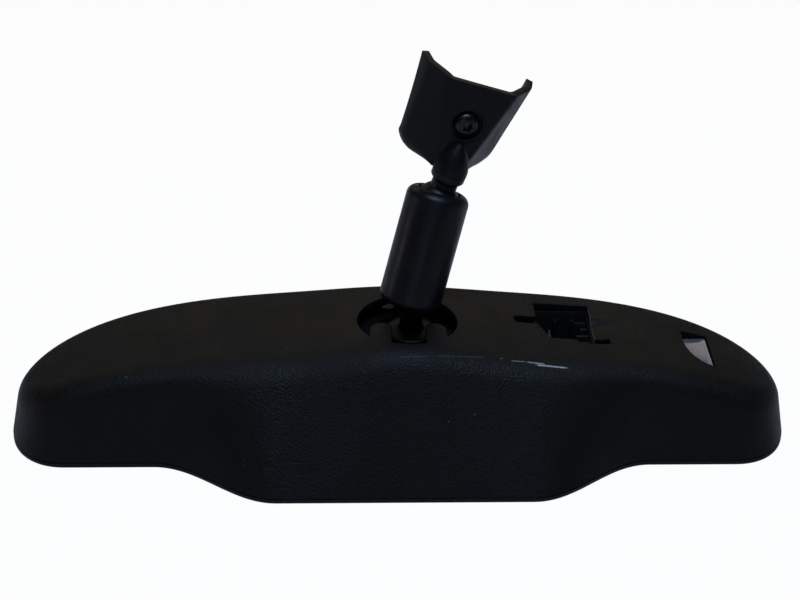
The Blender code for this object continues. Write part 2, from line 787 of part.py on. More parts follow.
BUTTON_PLACES = (*CHANNEL_PLACES, DIMMER_PLACE)
LIP_INSET = GLASS_INSET + GLASS_OVERLAP
GLASS_Z = BEZEL_FLOOR + GAP
SEAL_Z = GLASS_Z + GLASS + GAP
REAR_GLASS_Z = SEAL_Z + SEAL_HEIGHT + GAP
CLIP_Z = REAR_GLASS_Z + GLASS + GAP
FOAM_Z = CLIP_Z + CLIP_HEIGHT + GAP
CARRIER_Z = FOAM_Z + FOAM + GAP
BOARD_Z = CARRIER_Z + CARRIER + POST_HEIGHT + GAP
CHIN_BOARD_SIZE = (CHIN_BOARD_X[1] - CHIN_BOARD_X[0], CHIN_BOARD_Y[1] - CHIN_BOARD_Y[0])
CHIN_BOARD_MIDDLE = (sum(CHIN_BOARD_X) / 2, sum(CHIN_BOARD_Y) / 2)


def chin_post_places():
    return [(x, CHIN_BOARD_MIDDLE[1] + side * (CHIN_BOARD_SIZE[1] / 2 - CHIN_POST_RADIUS))
            for x, side in ((CHIN_BOARD_X[0] + CHIN_POST_RADIUS, -1),
                            (CHIN_BOARD_X[0] + CHIN_POST_RADIUS, 1),
                            (CHIN_BOARD_X[1] - CHIN_POST_RADIUS, -1),
                            (CHIN_BOARD_X[1] - CHIN_POST_RADIUS, 1))]


def ring_piece(name, section, look):
    """A closed ring lofted through loops that share their point numbers."""
    work = bmesh.new()
    rings = []
    for loop, inset, height in section:
        moved = inset_loop(loop, inset)
        rings.append([work.verts.new((*moved[i], height)) for i in KEPT_POINTS])
    count = len(KEPT_POINTS)
    for ring, following in zip(rings, rings[1:] + rings[:1]):
        for i in range(count):
            j = (i + 1) % count
            work.faces.new((ring[i], following[i], following[j], ring[j]))
    bmesh.ops.recalc_face_normals(work, faces=work.faces)
    mesh = bpy.data.meshes.new(name)
    work.to_mesh(mesh)
    work.free()
    return add_object(name, mesh, look)


def make_bezel():
    root_z = BEZEL_FLOOR * 0.7
    skirt_inner = SKIRT_INSET + SKIRT_WALL
    section = [
        (HEAD_LOOP, BEZEL_CHAMFER, 0), (HEAD_LOOP, 0, BEZEL_CHAMFER), (HEAD_LOOP, 0, BEZEL_STRIP),
        (HEAD_LOOP, SKIRT_INSET, BEZEL_STRIP), (HEAD_LOOP, SKIRT_INSET, SKIRT_TOP_Z),
        (HEAD_LOOP, skirt_inner, SKIRT_TOP_Z), (HEAD_LOOP, skirt_inner, BEZEL_FLOOR),
        (MIRROR_LOOP, LIP_INSET, BEZEL_FLOOR), (MIRROR_LOOP, LIP_INSET, 0),
    ]
    bezel = ring_piece("bezel", section, "satin_black")
    pieces = [
        box_piece("pocket_rib",
                  (2 * POCKET_RIB_HALF_LENGTH, POCKET_RIB, POCKET_RIB_TOP_Z - root_z),
                  (0, WING_EDGE_Y + GLASS_INSET - GAP - POCKET_RIB / 2,
                   (POCKET_RIB_TOP_Z + root_z) / 2)),
    ]
    for index, place in enumerate(chin_post_places()):
        pieces.append(flat_piece(f"chin_post_{index}", [circle(CHIN_POST_RADIUS, place, 12)],
                                 root_z, CHIN_BOARD_Z - GAP))
    combine(bezel, pieces, "UNION")
    holes = [circle(INDICATOR_RADIUS + GAP, (INDICATOR_PLACE, BUTTON_Y), 16),
             circle(GLARE_RADIUS + GAP, (GLARE_PLACE, BUTTON_Y), 20)]
    for x in BUTTON_PLACES:
        size = (BUTTON_SIZE[0] + 2 * GAP, BUTTON_SIZE[1] + 2 * GAP)
        holes.append(rounded_box((x, BUTTON_Y), size, BUTTON_CORNER + GAP))
    cuts = [flat_piece(f"chin_hole_{index}", [hole], -OVERLAP, BEZEL_FLOOR + OVERLAP)
            for index, hole in enumerate(holes)]
    combine(bezel, cuts, "DIFFERENCE")


def clip_loop(side):
    """A straight strip along the long edge of the rear glass."""
    if side > 0:
        y = TOP_EDGE_Y - GLASS_INSET - REAR_GLASS_STEP - CLIP_WIDTH
    else:
        y = WING_EDGE_Y + GLASS_INSET + REAR_GLASS_STEP + CLIP_WIDTH / 2
    return rounded_box((0, y), (2 * CLIP_HALF_LENGTH, CLIP_WIDTH), CLIP_WIDTH / 4, 2)


def make_glass():
    flat_piece("front_glass", [mirror_loop(GLASS_INSET)], GLASS_Z, GLASS_Z + GLASS, "mirror")
    seal_inset = GLASS_INSET + REAR_GLASS_STEP
    flat_piece("electrolyte_seal", [mirror_loop(seal_inset), mirror_loop(seal_inset + SEAL_WIDTH)],
               SEAL_Z, SEAL_Z + SEAL_HEIGHT, "seal")
    flat_piece("rear_glass", [mirror_loop(GLASS_INSET + REAR_GLASS_STEP)],
               REAR_GLASS_Z, REAR_GLASS_Z + GLASS, "glass")
    for name, side in (("upper_bus_clip", 1), ("lower_bus_clip", -1)):
        flat_piece(name, [clip_loop(side)], CLIP_Z, CLIP_Z + CLIP_HEIGHT, "copper")
    flat_piece("backing_foam", [mirror_loop(GLASS_INSET + FOAM_STEP)],
               FOAM_Z, FOAM_Z + FOAM, "foam")


def board_post_places():
    left = BOARD_X[0] + POST_INSET
    right = BOARD_X[1] - POST_INSET
    low = BOARD_Y[0] + POST_INSET
    high = BOARD_Y[1] - POST_INSET
    return [(left, low), (left, high), (right, low), (right - BOARD_CUT[0], high)]


def board_loop():
    left, right = BOARD_X
    low, high = BOARD_Y
    return [(left, low), (right, low), (right, high - BOARD_CUT[1]),
            (right - BOARD_CUT[0], high), (left, high)]


def make_carrier():
    carrier = flat_piece("carrier_plate", [mirror_loop(GLASS_INSET + CARRIER_STEP)],
                         CARRIER_Z, CARRIER_Z + CARRIER, "satin_black")
    posts = [
        flat_piece(f"post_{index}", [circle(POST_RADIUS, place, 14)],
                   CARRIER_Z + CARRIER - OVERLAP, BOARD_Z - GAP)
        for index, place in enumerate(board_post_places())
    ]
    combine(carrier, posts, "UNION")
    bores = [
        flat_piece(f"post_bore_{index}", [circle(BOARD_SCREW_RADIUS + GAP, place, 10)],
                   BOARD_Z + BOARD + GAP - BOARD_SCREW_LENGTH - GAP, HIGH_Z)
        for index, place in enumerate(board_post_places())
    ]
    combine(carrier, bores, "DIFFERENCE")


# ---------------------------------------------------------------- electronics

def pin_places():
    """One row of contacts along Y."""
    middle = SOCKET_CENTRE[1]
    start = middle - PIN_PITCH * (PIN_COUNT - 1) / 2
    return [(PIN_ROW_X, start + PIN_PITCH * i) for i in range(PIN_COUNT)]


def shroud_frame():
    """Outer size of the connector shroud, inside the housing's opening."""
    return (SOCKET_SIZE[0] + 2 * SHROUD_WALL - 2 * GAP, SOCKET_SIZE[1] + 2 * SHROUD_WALL - 2 * GAP)


def make_electronics():
    holes = [circle(BOARD_SCREW_RADIUS + GAP, place, 10) for place in board_post_places()]
    holes += [rounded_box(place, (PIN_WIDTH + 2 * GAP,) * 2, 0.2 * MM, 1) for place in pin_places()]
    flat_piece("circuit_board", [board_loop()] + holes, BOARD_Z, BOARD_Z + BOARD, "board_green")
    surface = BOARD_Z + BOARD + GAP
    for index, place in enumerate(board_post_places()):
        head = [(0, BOARD_SCREW_HEAD), (BOARD_SCREW_HEAD_RADIUS, BOARD_SCREW_HEAD * 0.7),
                (BOARD_SCREW_HEAD_RADIUS, 0), (BOARD_SCREW_RADIUS, 0),
                (BOARD_SCREW_RADIUS, -BOARD_SCREW_LENGTH), (0, -BOARD_SCREW_LENGTH)]
        turned_piece(f"board_screw_{index + 1}", head, "steel", place=(*place, surface), steps=12)
    outer = shroud_frame()
    inner = (outer[0] - 2 * SHROUD_WALL, outer[1] - 2 * SHROUD_WALL)
    shroud = flat_piece("connector_shroud", [rounded_box(SOCKET_CENTRE, outer, 0.8 * MM, 2)],
                        surface, SHROUD_TOP_Z, "satin_black")
    cuts = [flat_piece("cavity", [rounded_box(SOCKET_CENTRE, inner, 0.5 * MM, 2)],
                       surface + SHROUD_FLOOR, HIGH_Z)]
    for index, place in enumerate(pin_places()):
        cuts.append(flat_piece(f"pin_hole_{index}",
                               [rounded_box(place, (PIN_WIDTH + 2 * GAP,) * 2, 0.2 * MM, 1)],
                               surface - OVERLAP, surface + SHROUD_FLOOR + OVERLAP))
    combine(shroud, cuts, "DIFFERENCE")
    for index, place in enumerate(pin_places()):
        low = BOARD_Z - 1.4 * MM
        box_piece(f"contact_pin_{index + 1}", (PIN_WIDTH, PIN_WIDTH, PIN_TOP_Z - low),
                  (*place, (PIN_TOP_Z + low) / 2), "copper")
    box_piece("processor", PROCESSOR_SIZE,
              (*PROCESSOR_PLACE, surface + PROCESSOR_SIZE[2] / 2), "chip")
    can = [(0, CAPACITOR_HEIGHT), (CAPACITOR_RADIUS - 0.4 * MM, CAPACITOR_HEIGHT),
           (CAPACITOR_RADIUS, CAPACITOR_HEIGHT - 0.4 * MM), (CAPACITOR_RADIUS, 0), (0, 0)]
    turned_piece("capacitor", can, "steel", place=(*CAPACITOR_PLACE, surface), steps=16)
    make_light_sensor(surface)


def make_light_sensor(surface):
    lens_z = WINDOW_FLOOR_Z
    ledge = window_loop(1.2 * MM + GAP)
    head = window_loop(GAP)
    lens = flat_piece("light_sensor_lens", [ledge], lens_z + GAP, lens_z + LENS, "lens")
    flange = flat_piece("lens_flange", [head], lens_z + LENS + 2 * GAP + GAP,
                        lens_z + 2 * LENS, None)
    link = flat_piece("lens_link", [ledge], lens_z + LENS - OVERLAP, lens_z + 2 * LENS, None)
    combine(lens, [link, flange], "UNION")
    middle_y = (WINDOW_TOP_Y + WINDOW_TIP_Y) / 2 + 2 * MM
    tower_top = lens_z - SENSOR_SIZE[2] - GAP
    box_piece("sensor_tower", (*SENSOR_TOWER, tower_top - surface),
              (WINDOW_CENTRE_X, middle_y, (tower_top + surface) / 2), "satin_black")
    box_piece("ambient_light_sensor", (SENSOR_SIZE[0], SENSOR_SIZE[1], SENSOR_SIZE[2] - GAP),
              (WINDOW_CENTRE_X, middle_y, tower_top + GAP + (SENSOR_SIZE[2] - GAP) / 2), "chip")


# ---------------------------------------------------------------- chin controls

def make_button(name, x, pips):
    """A key cap with a retaining flange; its origin is the middle of its travel axis."""
    cap_bottom = BUTTON_RECESS
    flange_z = BEZEL_FLOOR + GAP
    button = flat_piece(name, [rounded_box((0, 0), BUTTON_SIZE, BUTTON_CORNER)],
                        cap_bottom, flange_z + BUTTON_FLANGE, "satin_black", place=(x, BUTTON_Y, 0))
    flange_size = (BUTTON_SIZE[0] + 2 * BUTTON_FLANGE_STEP, BUTTON_SIZE[1] + 2 * BUTTON_FLANGE_STEP)
    additions = [
        flat_piece(f"{name}_flange", [rounded_box((0, 0), flange_size, BUTTON_CORNER)],
                   flange_z, flange_z + BUTTON_FLANGE, place=(x, BUTTON_Y, 0)),
        flat_piece(f"{name}_plunger", [circle(PLUNGER_RADIUS, count=12)],
                   flange_z + BUTTON_FLANGE - OVERLAP, flange_z + BUTTON_FLANGE + PLUNGER,
                   place=(x, BUTTON_Y, 0)),
    ]
    for index in range(pips):
        pip_x = (index - (pips - 1) / 2) * PIP_PITCH
        additions.append(flat_piece(f"{name}_pip_{index}",
                                    [circle(PIP_RADIUS, (pip_x, 0), 10)],
                                    cap_bottom - PIP_HEIGHT, cap_bottom + OVERLAP,
                                    place=(x, BUTTON_Y, 0)))
    combine(button, additions, "UNION")


def make_chin():
    for index, x in enumerate(CHANNEL_PLACES):
        make_button(f"channel_button_{index + 1}", x, index + 1)
    make_button("dimmer_button", DIMMER_PLACE, 0)
    flat_piece("chin_board", [rounded_box(CHIN_BOARD_MIDDLE, CHIN_BOARD_SIZE, 1.0 * MM, 2)],
               CHIN_BOARD_Z, CHIN_BOARD_Z + BOARD, "board_green")
    plunger_top = BEZEL_FLOOR + GAP + BUTTON_FLANGE + PLUNGER
    switch_bottom = plunger_top + BUTTON_TRAVEL + GAP / 2
    switch_top = CHIN_BOARD_Z - GAP
    for index, x in enumerate(BUTTON_PLACES):
        box_piece(f"switch_{index + 1}", (*SWITCH_SIZE, switch_top - switch_bottom),
                  (x, BUTTON_Y, (switch_top + switch_bottom) / 2), "chip")
    make_chin_lens("indicator_lens", INDICATOR_PLACE, INDICATOR_RADIUS)
    make_chin_lens("glare_sensor_lens", GLARE_PLACE, GLARE_RADIUS)
    box_piece("glare_light_sensor", GLARE_SENSOR_SIZE,
              (GLARE_PLACE, BUTTON_Y, CHIN_BOARD_Z - GAP - GLARE_SENSOR_SIZE[2] / 2), "chip")


def make_chin_lens(name, x, radius):
    """A light pipe: its face in the bezel, its shoulder behind it."""
    shoulder = BEZEL_FLOOR + GAP
    shoulder_top = shoulder + BUTTON_FLANGE
    top = CHIN_BOARD_Z - GLARE_SENSOR_SIZE[2] - 2 * GAP
    stem = radius - PIPE_EDGE
    wide = radius + BUTTON_FLANGE_STEP
    profile = [(0, top), (stem, top), (stem, shoulder_top), (wide, shoulder_top),
               (wide, shoulder), (radius, shoulder), (radius, BUTTON_RECESS + PIPE_EDGE),
               (radius - PIPE_EDGE, BUTTON_RECESS), (0, BUTTON_RECESS)]
    turned_piece(name, profile, "lens", place=(x, BUTTON_Y, 0), steps=18)


# ---------------------------------------------------------------- stem

def lean_frame(origin, lean_right, lean_back, turn=0.0):
    """A frame whose Z leans to +X and to +Y, then turned about that Z."""
    z_axis = Vector((math.tan(lean_right), math.tan(lean_back), 1)).normalized()
    x_axis = Vector((0, 1, 0)).cross(z_axis).normalized()
    y_axis = z_axis.cross(x_axis)
    basis = Matrix((x_axis, y_axis, z_axis)).transposed().to_4x4()
    return Matrix.Translation(origin) @ basis @ Matrix.Rotation(turn, 4, "Z")


STEM_FRAME = lean_frame(LOWER_BALL, STEM_LEAN_RIGHT, STEM_LEAN_BACK)
UPPER_BALL = STEM_FRAME @ Vector((0, 0, BALL_SPACING))
BRACKET_FRAME = lean_frame(UPPER_BALL, BRACKET_LEAN_RIGHT, BRACKET_LEAN_BACK, BRACKET_TURN)


def ball_profile(neck_radius, upward):
    """Ball from its far pole to the neck, as (radius, height) pairs."""
    join = math.degrees(math.acos(neck_radius / BALL_RADIUS))
    arc = arc_points((0, 0), BALL_RADIUS, 90, -join, BALL_STEPS)
    arc[0] = (0, BALL_RADIUS)
    if upward:
        return [(radius, -height) for radius, height in arc]
    return arc


def make_mounting_plate():
    middle = (LOWER_BALL[0], PLATE_CENTRE_Y)
    holes = [circle(PLATE_SCREW_RADIUS + GAP, place, 12) for place in plate_screw_places()]
    holes.append(circle(STUD_SHANK_RADIUS + GAP, LOWER_BALL[:2]))
    flat_piece("mounting_plate", [rounded_box(middle, PLATE_SIZE, PLATE_CORNER)] + holes,
               PLATE_Z, PLATE_TOP_Z, "steel")
    for index, place in enumerate(plate_screw_places()):
        profile = [(0, PLATE_SCREW_LENGTH), (PLATE_SCREW_RADIUS, PLATE_SCREW_LENGTH),
                   (PLATE_SCREW_RADIUS, 0), (PLATE_SCREW_HEAD_RADIUS, 0),
                   (PLATE_SCREW_HEAD_RADIUS, -PLATE_SCREW_HEAD * 0.6),
                   (PLATE_SCREW_HEAD_RADIUS * 0.7, -PLATE_SCREW_HEAD), (0, -PLATE_SCREW_HEAD)]
        turned_piece(f"plate_screw_{index + 1}", profile, "steel",
                     place=(*place, PLATE_Z - GAP), steps=14)


def make_lower_stud(lower_ball):
    base = PLATE_TOP_Z + GAP - LOWER_BALL[2]
    under = PLATE_Z - GAP - LOWER_BALL[2]
    profile = ball_profile(STUD_NECK_RADIUS, False)
    profile += [(STUD_NECK_RADIUS, base + STUD_FLANGE + 1.2 * MM),
                (STUD_NECK_RADIUS + 1.2 * MM, base + STUD_FLANGE),
                (STUD_FLANGE_RADIUS, base + STUD_FLANGE - 0.6 * MM), (STUD_FLANGE_RADIUS, base),
                (STUD_SHANK_RADIUS, base), (STUD_SHANK_RADIUS, under - STUD_NUT - 1.0 * MM),
                (0, under - STUD_NUT - 1.0 * MM)]
    turned_piece("lower_ball_stud", profile, "steel", lower_ball)
    flat_piece("stud_nut", [circle(STUD_NUT_RADIUS, count=6), circle(STUD_SHANK_RADIUS + GAP)],
               under - STUD_NUT, under, "steel", lower_ball)


def mouth_profile(toward):
    """Tube wall at one end, from the outer side over the rim to the bore."""
    outer = TUBE_RADIUS
    bore = TUBE_RADIUS - TUBE_WALL
    shoulder = arc_points((outer - TUBE_SHOULDER, TUBE_END - TUBE_SHOULDER), TUBE_SHOULDER, 0, 78, 4)
    inside = [(MOUTH_RADIUS, TUBE_END),
              (MOUTH_RADIUS + 0.9 * MM, TUBE_END - MOUTH_CHAMFER),
              (bore - 0.7 * MM, TUBE_END - TUBE_WALL - 0.7 * MM),
              (bore, SEAT_RING[0] + GAP)]
    points = shoulder + inside
    return points if toward > 0 else [(radius, -height) for radius, height in points][::-1]


def zone_profile(inner, outer, high, low, steps=4):
    """Ring between two spheres, or a sphere and a cylinder, closed."""
    top = math.asin(high / inner)
    bottom = math.asin(low / inner)
    found = []
    for step in range(steps + 1):
        angle = top + (bottom - top) * step / steps
        found.append((inner * math.cos(angle), inner * math.sin(angle)))
    return [(outer, low), (outer, high)][::-1] + found[::-1]


def make_stem(stem):
    upper = Vector((0, 0, BALL_SPACING))
    bore = TUBE_RADIUS - TUBE_WALL
    lower_end = mouth_profile(-1)
    upper_end = [(radius, height + BALL_SPACING) for radius, height in mouth_profile(1)]
    turned_piece("stem_tube", upper_end + lower_end, "painted_black", stem, steps=26)
    seat = zone_profile(BALL_RADIUS + GAP, bore - GAP, *SEAT_RING)
    turned_piece("lower_seat_ring", [(r, -z) for r, z in seat][::-1], "nylon", stem)
    turned_piece("upper_seat_ring", seat, "nylon", upper_turn_frame(stem, upper))
    cup = follower_profile(bore - GAP)
    turned_piece("lower_follower", [(r, -z) for r, z in cup][::-1], "nylon", stem)
    turned_piece("upper_follower", cup, "nylon", upper_turn_frame(stem, upper))
    make_spring(stem)


def upper_turn_frame(stem, place):
    """The empty at the upper ball about which the upper seats turn."""
    found = bpy.data.objects.get("upper_turn")
    if found:
        return found
    frame = bpy.data.objects.new("upper_turn", None)
    frame.empty_display_size = 10 * MM
    PARTS.objects.link(frame)
    frame.parent = stem
    frame.location = place
    return frame


def follower_profile(outer):
    """Cup that presses on the inner side of the upper ball, from that ball's centre."""
    seat = BALL_RADIUS + GAP
    rim = math.asin(FOLLOWER_START / seat)
    hole = math.acos(FOLLOWER_BORE / seat)
    arc = []
    steps = 7
    for step in range(steps + 1):
        angle = rim + (hole - rim) * step / steps
        arc.append((seat * math.cos(angle), -seat * math.sin(angle)))
    return [(outer, -FOLLOWER_START), *arc, (FOLLOWER_BORE, -FOLLOWER_END), (outer, -FOLLOWER_END)]


def make_spring(stem):
    """Compression spring between the two followers, one unbroken wire."""
    start = FOLLOWER_END + GAP + SPRING_WIRE
    end = BALL_SPACING - start
    per_turn = 12
    count = int(per_turn * SPRING_TURNS)
    curve = bpy.data.curves.new("stem_spring", "CURVE")
    curve.dimensions = "3D"
    curve.bevel_depth = SPRING_WIRE
    curve.bevel_resolution = 1
    curve.use_fill_caps = True
    spline = curve.splines.new("POLY")
    spline.points.add(count)
    for i, point in enumerate(spline.points):
        angle = 2 * math.pi * i / per_turn
        height = start + (end - start) * i / count
        point.co = (SPRING_RADIUS * math.cos(angle), SPRING_RADIUS * math.sin(angle), height, 1)
    holder = bpy.data.objects.new("stem_spring", curve)
    bpy.context.scene.collection.objects.link(holder)
    mesh = apply_modifiers(holder)
    bpy.data.objects.remove(holder)
    pitch = (end - start) / SPRING_TURNS
    print(f"stem_spring: least gap between turns {(pitch - 2 * SPRING_WIRE) / MM:.2f} mm")
    smooth(add_object("stem_spring", mesh, "steel", stem))


# ---------------------------------------------------------------- windshield bracket

def make_upper_stud(frame):
    profile = [(0, STUD_PIN_TOP), (STUD_PIN_RADIUS, STUD_PIN_TOP), (STUD_PIN_RADIUS, NECK_TOP),
               (NECK_RADIUS, NECK_TOP), (NECK_WAIST_RADIUS, NECK_TOP - 3.4 * MM)]
    ball = ball_profile(NECK_WAIST_RADIUS, True)
    turned_piece("upper_ball_stud", profile + ball[::-1], "painted_black", frame)


def bracket_surface():
    """Open skin of the channel: web, flanks, side walls and the foot at the collar."""
    rows = [[Vector(point) for point in row] for row in BRACKET_FOOT]
    for step in range(BRACKET_ROWS + 1):
        share = step / BRACKET_ROWS
        lip = Vector((-(LIP_HALF_START + (LIP_HALF_END - LIP_HALF_START) * share),
                      LIP_Y_START + (LIP_Y_END - LIP_Y_START) * share,
                      LIP_START + (LIP_END - LIP_START) * share))
        web = Vector((-(WEB_HALF_START + (WEB_HALF_END - WEB_HALF_START) * share),
                      WEB_Y, WEB_START + (WEB_END - WEB_START) * share))
        if step == 0:
            lip.z += LIP_CORNER
        edge = lip + SIDE_WALL * Vector((-math.sin(SIDE_WALL_FLARE), math.cos(SIDE_WALL_FLARE), 0))
        rows.append([edge, lip, lip.lerp(web, 0.5), web])
    return rows


def make_bracket(frame):
    rows = bracket_surface()
    work = bmesh.new()
    grid = []
    for row in rows:
        left = [work.verts.new(point) for point in row]
        right = [work.verts.new((-point.x, point.y, point.z)) for point in reversed(row)]
        grid.append(left + right)
    for below, above in zip(grid, grid[1:]):
        for k in range(len(below) - 1):
            work.faces.new((below[k], below[k + 1], above[k + 1], above[k]))
    mesh = bpy.data.meshes.new("mount_bracket")
    work.to_mesh(mesh)
    work.free()
    bracket = add_object("mount_bracket", mesh, "painted_black", frame)
    wall = bracket.modifiers.new("wall", "SOLIDIFY")
    wall.thickness = BRACKET_WALL
    wall.offset = -1
    wall.use_even_offset = True
    soften = bracket.modifiers.new("edges", "BEVEL")
    soften.width = 0.5 * MM
    soften.segments = 2
    soften.limit_method = "ANGLE"
    soften.angle_limit = math.radians(40)
    collar = turned_piece("collar", [(0, COLLAR_TOP), (COLLAR_RADIUS - 1.6 * MM, COLLAR_TOP),
                                     (COLLAR_RADIUS, COLLAR_TOP - 2.2 * MM),
                                     (COLLAR_RADIUS, NECK_TOP + GAP), (0, NECK_TOP + GAP)],
                          None, frame)
    pad = turned_piece("screw_pad", [(0, SCREW_PAD), (SCREW_PAD_RADIUS, SCREW_PAD),
                                     (SCREW_PAD_RADIUS, 0), (0, 0)], None, frame)
    pad.location = (0, WEB_Y + SCREW_PAD + OVERLAP, SCREW_PLACE)
    pad.rotation_euler = (math.pi / 2, 0, 0)
    combine(bracket, [collar, pad], "UNION")
    pin_bore = [(0, STUD_PIN_TOP + GAP), (STUD_PIN_RADIUS + GAP, STUD_PIN_TOP + GAP),
                (STUD_PIN_RADIUS + GAP, NECK_TOP + GAP), (NECK_RADIUS + GAP, NECK_TOP + GAP),
                (NECK_RADIUS + GAP, NECK_TOP - 6 * MM), (0, NECK_TOP - 6 * MM)]
    bore = turned_piece("pin_bore", pin_bore, None, frame)
    head_bore = turned_piece("head_bore", [(0, 5 * MM), (SCREW_BORE_RADIUS, 5 * MM),
                                           (SCREW_BORE_RADIUS, 0), (0, 0)], None, frame)
    head_bore.location = (0, WEB_Y + SCREW_HEAD_RECESS, SCREW_PLACE)
    head_bore.rotation_euler = (math.pi / 2, 0, 0)
    shank_bore = turned_piece("shank_bore", [(0, 20 * MM), (SCREW_SHANK_RADIUS + GAP, 20 * MM),
                                             (SCREW_SHANK_RADIUS + GAP, 0), (0, 0)], None, frame)
    shank_bore.location = (0, WEB_Y + 14 * MM, SCREW_PLACE)
    shank_bore.rotation_euler = (math.pi / 2, 0, 0)
    combine(bracket, [bore, head_bore, shank_bore], "DIFFERENCE")
    smooth(bracket, 30)
    make_mount_screw(frame)


def make_mount_screw(frame):
    """Pan head in the web's counterbore, its tip in the channel."""
    under = 0.0
    tip = SCREW_PAD + OVERLAP - SCREW_HEAD_RECESS + SCREW_TIP
    profile = [(0, under + 2.4 * MM), (2.6 * MM, under + 2.2 * MM), (SCREW_HEAD_RADIUS, under + 1.0 * MM),
               (SCREW_HEAD_RADIUS, under + GAP), (SCREW_SHANK_RADIUS, under + GAP),
               (SCREW_SHANK_RADIUS, -tip), (0, -tip)]
    screw = turned_piece("mount_screw", profile, "steel", frame)
    screw.location = (0, WEB_Y + SCREW_HEAD_RECESS, SCREW_PLACE)
    screw.rotation_euler = (math.pi / 2, 0, 0)


def main():
    make_housing()
    make_bezel()
    make_glass()
    make_carrier()
    make_electronics()
    make_chin()
    make_mounting_plate()
    make_lower_stud(empty("lower_turn", Matrix.Translation(LOWER_BALL)))
    make_stem(empty("stem_tilt", STEM_FRAME))
    bracket = empty("bracket_tilt", BRACKET_FRAME)
    make_upper_stud(bracket)
    make_bracket(bracket)


main()
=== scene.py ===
"""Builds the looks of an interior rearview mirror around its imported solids."""

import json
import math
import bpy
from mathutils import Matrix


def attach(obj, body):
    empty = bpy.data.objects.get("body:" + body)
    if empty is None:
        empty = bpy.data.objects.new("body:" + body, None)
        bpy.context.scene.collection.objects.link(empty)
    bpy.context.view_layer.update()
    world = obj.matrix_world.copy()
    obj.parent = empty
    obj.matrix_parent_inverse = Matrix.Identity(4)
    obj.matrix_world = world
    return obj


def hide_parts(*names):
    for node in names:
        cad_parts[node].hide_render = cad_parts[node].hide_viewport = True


bl_info = {
    "name": "Rearview Mirror Looks",
    "version": (1, 0, 0),
    "blender": (4, 5, 0),
    "location": "3D View > Sidebar > Mirror",
    "description": "Builds the housing, stem, bracket, glass side and stage of the mirror",
    "category": "Object",
}

import bpy
from mathutils import Matrix, Vector

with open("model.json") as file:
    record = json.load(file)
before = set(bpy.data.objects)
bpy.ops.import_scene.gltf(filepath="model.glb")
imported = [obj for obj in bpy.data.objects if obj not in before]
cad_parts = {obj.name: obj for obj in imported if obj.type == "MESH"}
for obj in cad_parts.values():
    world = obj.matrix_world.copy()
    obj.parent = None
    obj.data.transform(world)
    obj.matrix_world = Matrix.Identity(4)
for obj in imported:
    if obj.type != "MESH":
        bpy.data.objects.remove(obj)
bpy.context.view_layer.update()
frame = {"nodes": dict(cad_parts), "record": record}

MM = 0.001
POLE = 0.001 * MM             # radius of a ring that closes to a point
MERGE = 0.004 * MM

# Plan outline
WING_EDGE_Y = -19.0 * MM
END_Y = 4.0 * MM
END_ROUND_START = 112.0 * MM
CHIN_FLAT_HALF = 42.0 * MM
CHIN_BLEND_LENGTH = 41.0 * MM
TOP_LONG_POWER = 3.0
TOP_SHORT_POWER = 2.3
END_ROUND_POWER = 2.15
DOME_REACH = 8.4 * MM         # how far past the ends the dome would meet the plane
FAR_LEAN = 3.0 * MM           # lean and rounding at the ends and along the top edge
FAR_BLEND = 3.4 * MM
DOME_POWER = 3.0
HUMP_FRONT = 5.3 * MM
HUMP_BACK = 2.2 * MM
HUMP_HALF_WIDTH = 28.0 * MM
BACK_CROWN = 0.8 * MM
HOUSING_EDGE_Z = 2.1 * MM
HOUSING_WALL = 2.0 * MM
RIM_ROUND = 0.5 * MM
SCOOP_CENTRE = (69.5 * MM, 9.8 * MM)
SCOOP_HALF = (8.5 * MM, 8.0 * MM)
SCOOP_DEPTH = 1.8 * MM
GAP = 0.3 * MM                # running gap between pieces

# Frame round the glass
FRAME_FLOOR = 1.0 * MM
FRAME_LIP = 7.4 * MM
FRAME_ROUND = 0.6 * MM
FRAME_TOP = 1.8 * MM
SKIRT_INSET = 4.4 * MM
SKIRT_WALL = 1.2 * MM
SKIRT_TOP = 4.4 * MM
EDGE_BREAK = 0.35 * MM

# Openings in the back
OPENING_CENTRE = (1.6 * MM, 9.4 * MM)
OPENING_RADIUS = 16.7 * MM
LOBE_HALF_WIDTH = 3.6 * MM
LOBE_SPACING = 18.4 * MM
LOBE_REACH = 14.0 * MM
PLATE_TOP_Z = 32.2 * MM
SOCKET_CENTRE = (55.3 * MM, 15.3 * MM)
SOCKET_SIZE = (18.6 * MM, 22.4 * MM)
SOCKET_CORNER_CUT = (3.6 * MM, 9.0 * MM)
LATCH_SLOT = (7.6 * MM, 4.4 * MM)
SLOT_FAR_SIDE = 1.8 * MM      # from the socket's middle to the slot's far side
SLOT_CORNER = 1.6 * MM
SIDE_NOTCH = (5.4 * MM, 2.6 * MM)
NOTCH_CORNER = 0.5 * MM
NOTCH_RISE = 0.1 * MM         # from the socket's near side up to the notch
SOCKET_OVERLAP = 1.0 * MM     # how far the slot and the notch run into the socket
SOCKET_STEP = 2.5 * MM        # longest side between two points of the socket's outline
CUT_DEPTH = 5.0 * MM          # how far the cutters reach under the mounting plate's top
WINDOW_CENTRE_X = 100.8 * MM
WINDOW_WIDTH = 9.0 * MM
WINDOW_TOP_Y = 17.2 * MM
WINDOW_SHOULDER_Y = 11.5 * MM
WINDOW_TIP_Y = -1.0 * MM
WINDOW_DEPTH = 5.0 * MM
WINDOW_STEP = 2.0 * MM        # longest side between two points of the window's outline
WELL_WALL = 1.3 * MM
WELL_CLEAR = 0.03 * MM        # how far the well stands outside the window's cut
WELL_DROP = 0.7 * MM          # from the back face down to the well's rim
LENS_HEIGHT = 3.2 * MM
LENS_FOOT_INSET = 1.5 * MM
BOSS_X = (-23.4 * MM, 29.4 * MM)
BOSS_Y = (-2.9 * MM, 24.9 * MM)
BOSS_BORE = 1.8 * MM
BOSS_RADIUS = 3.6 * MM
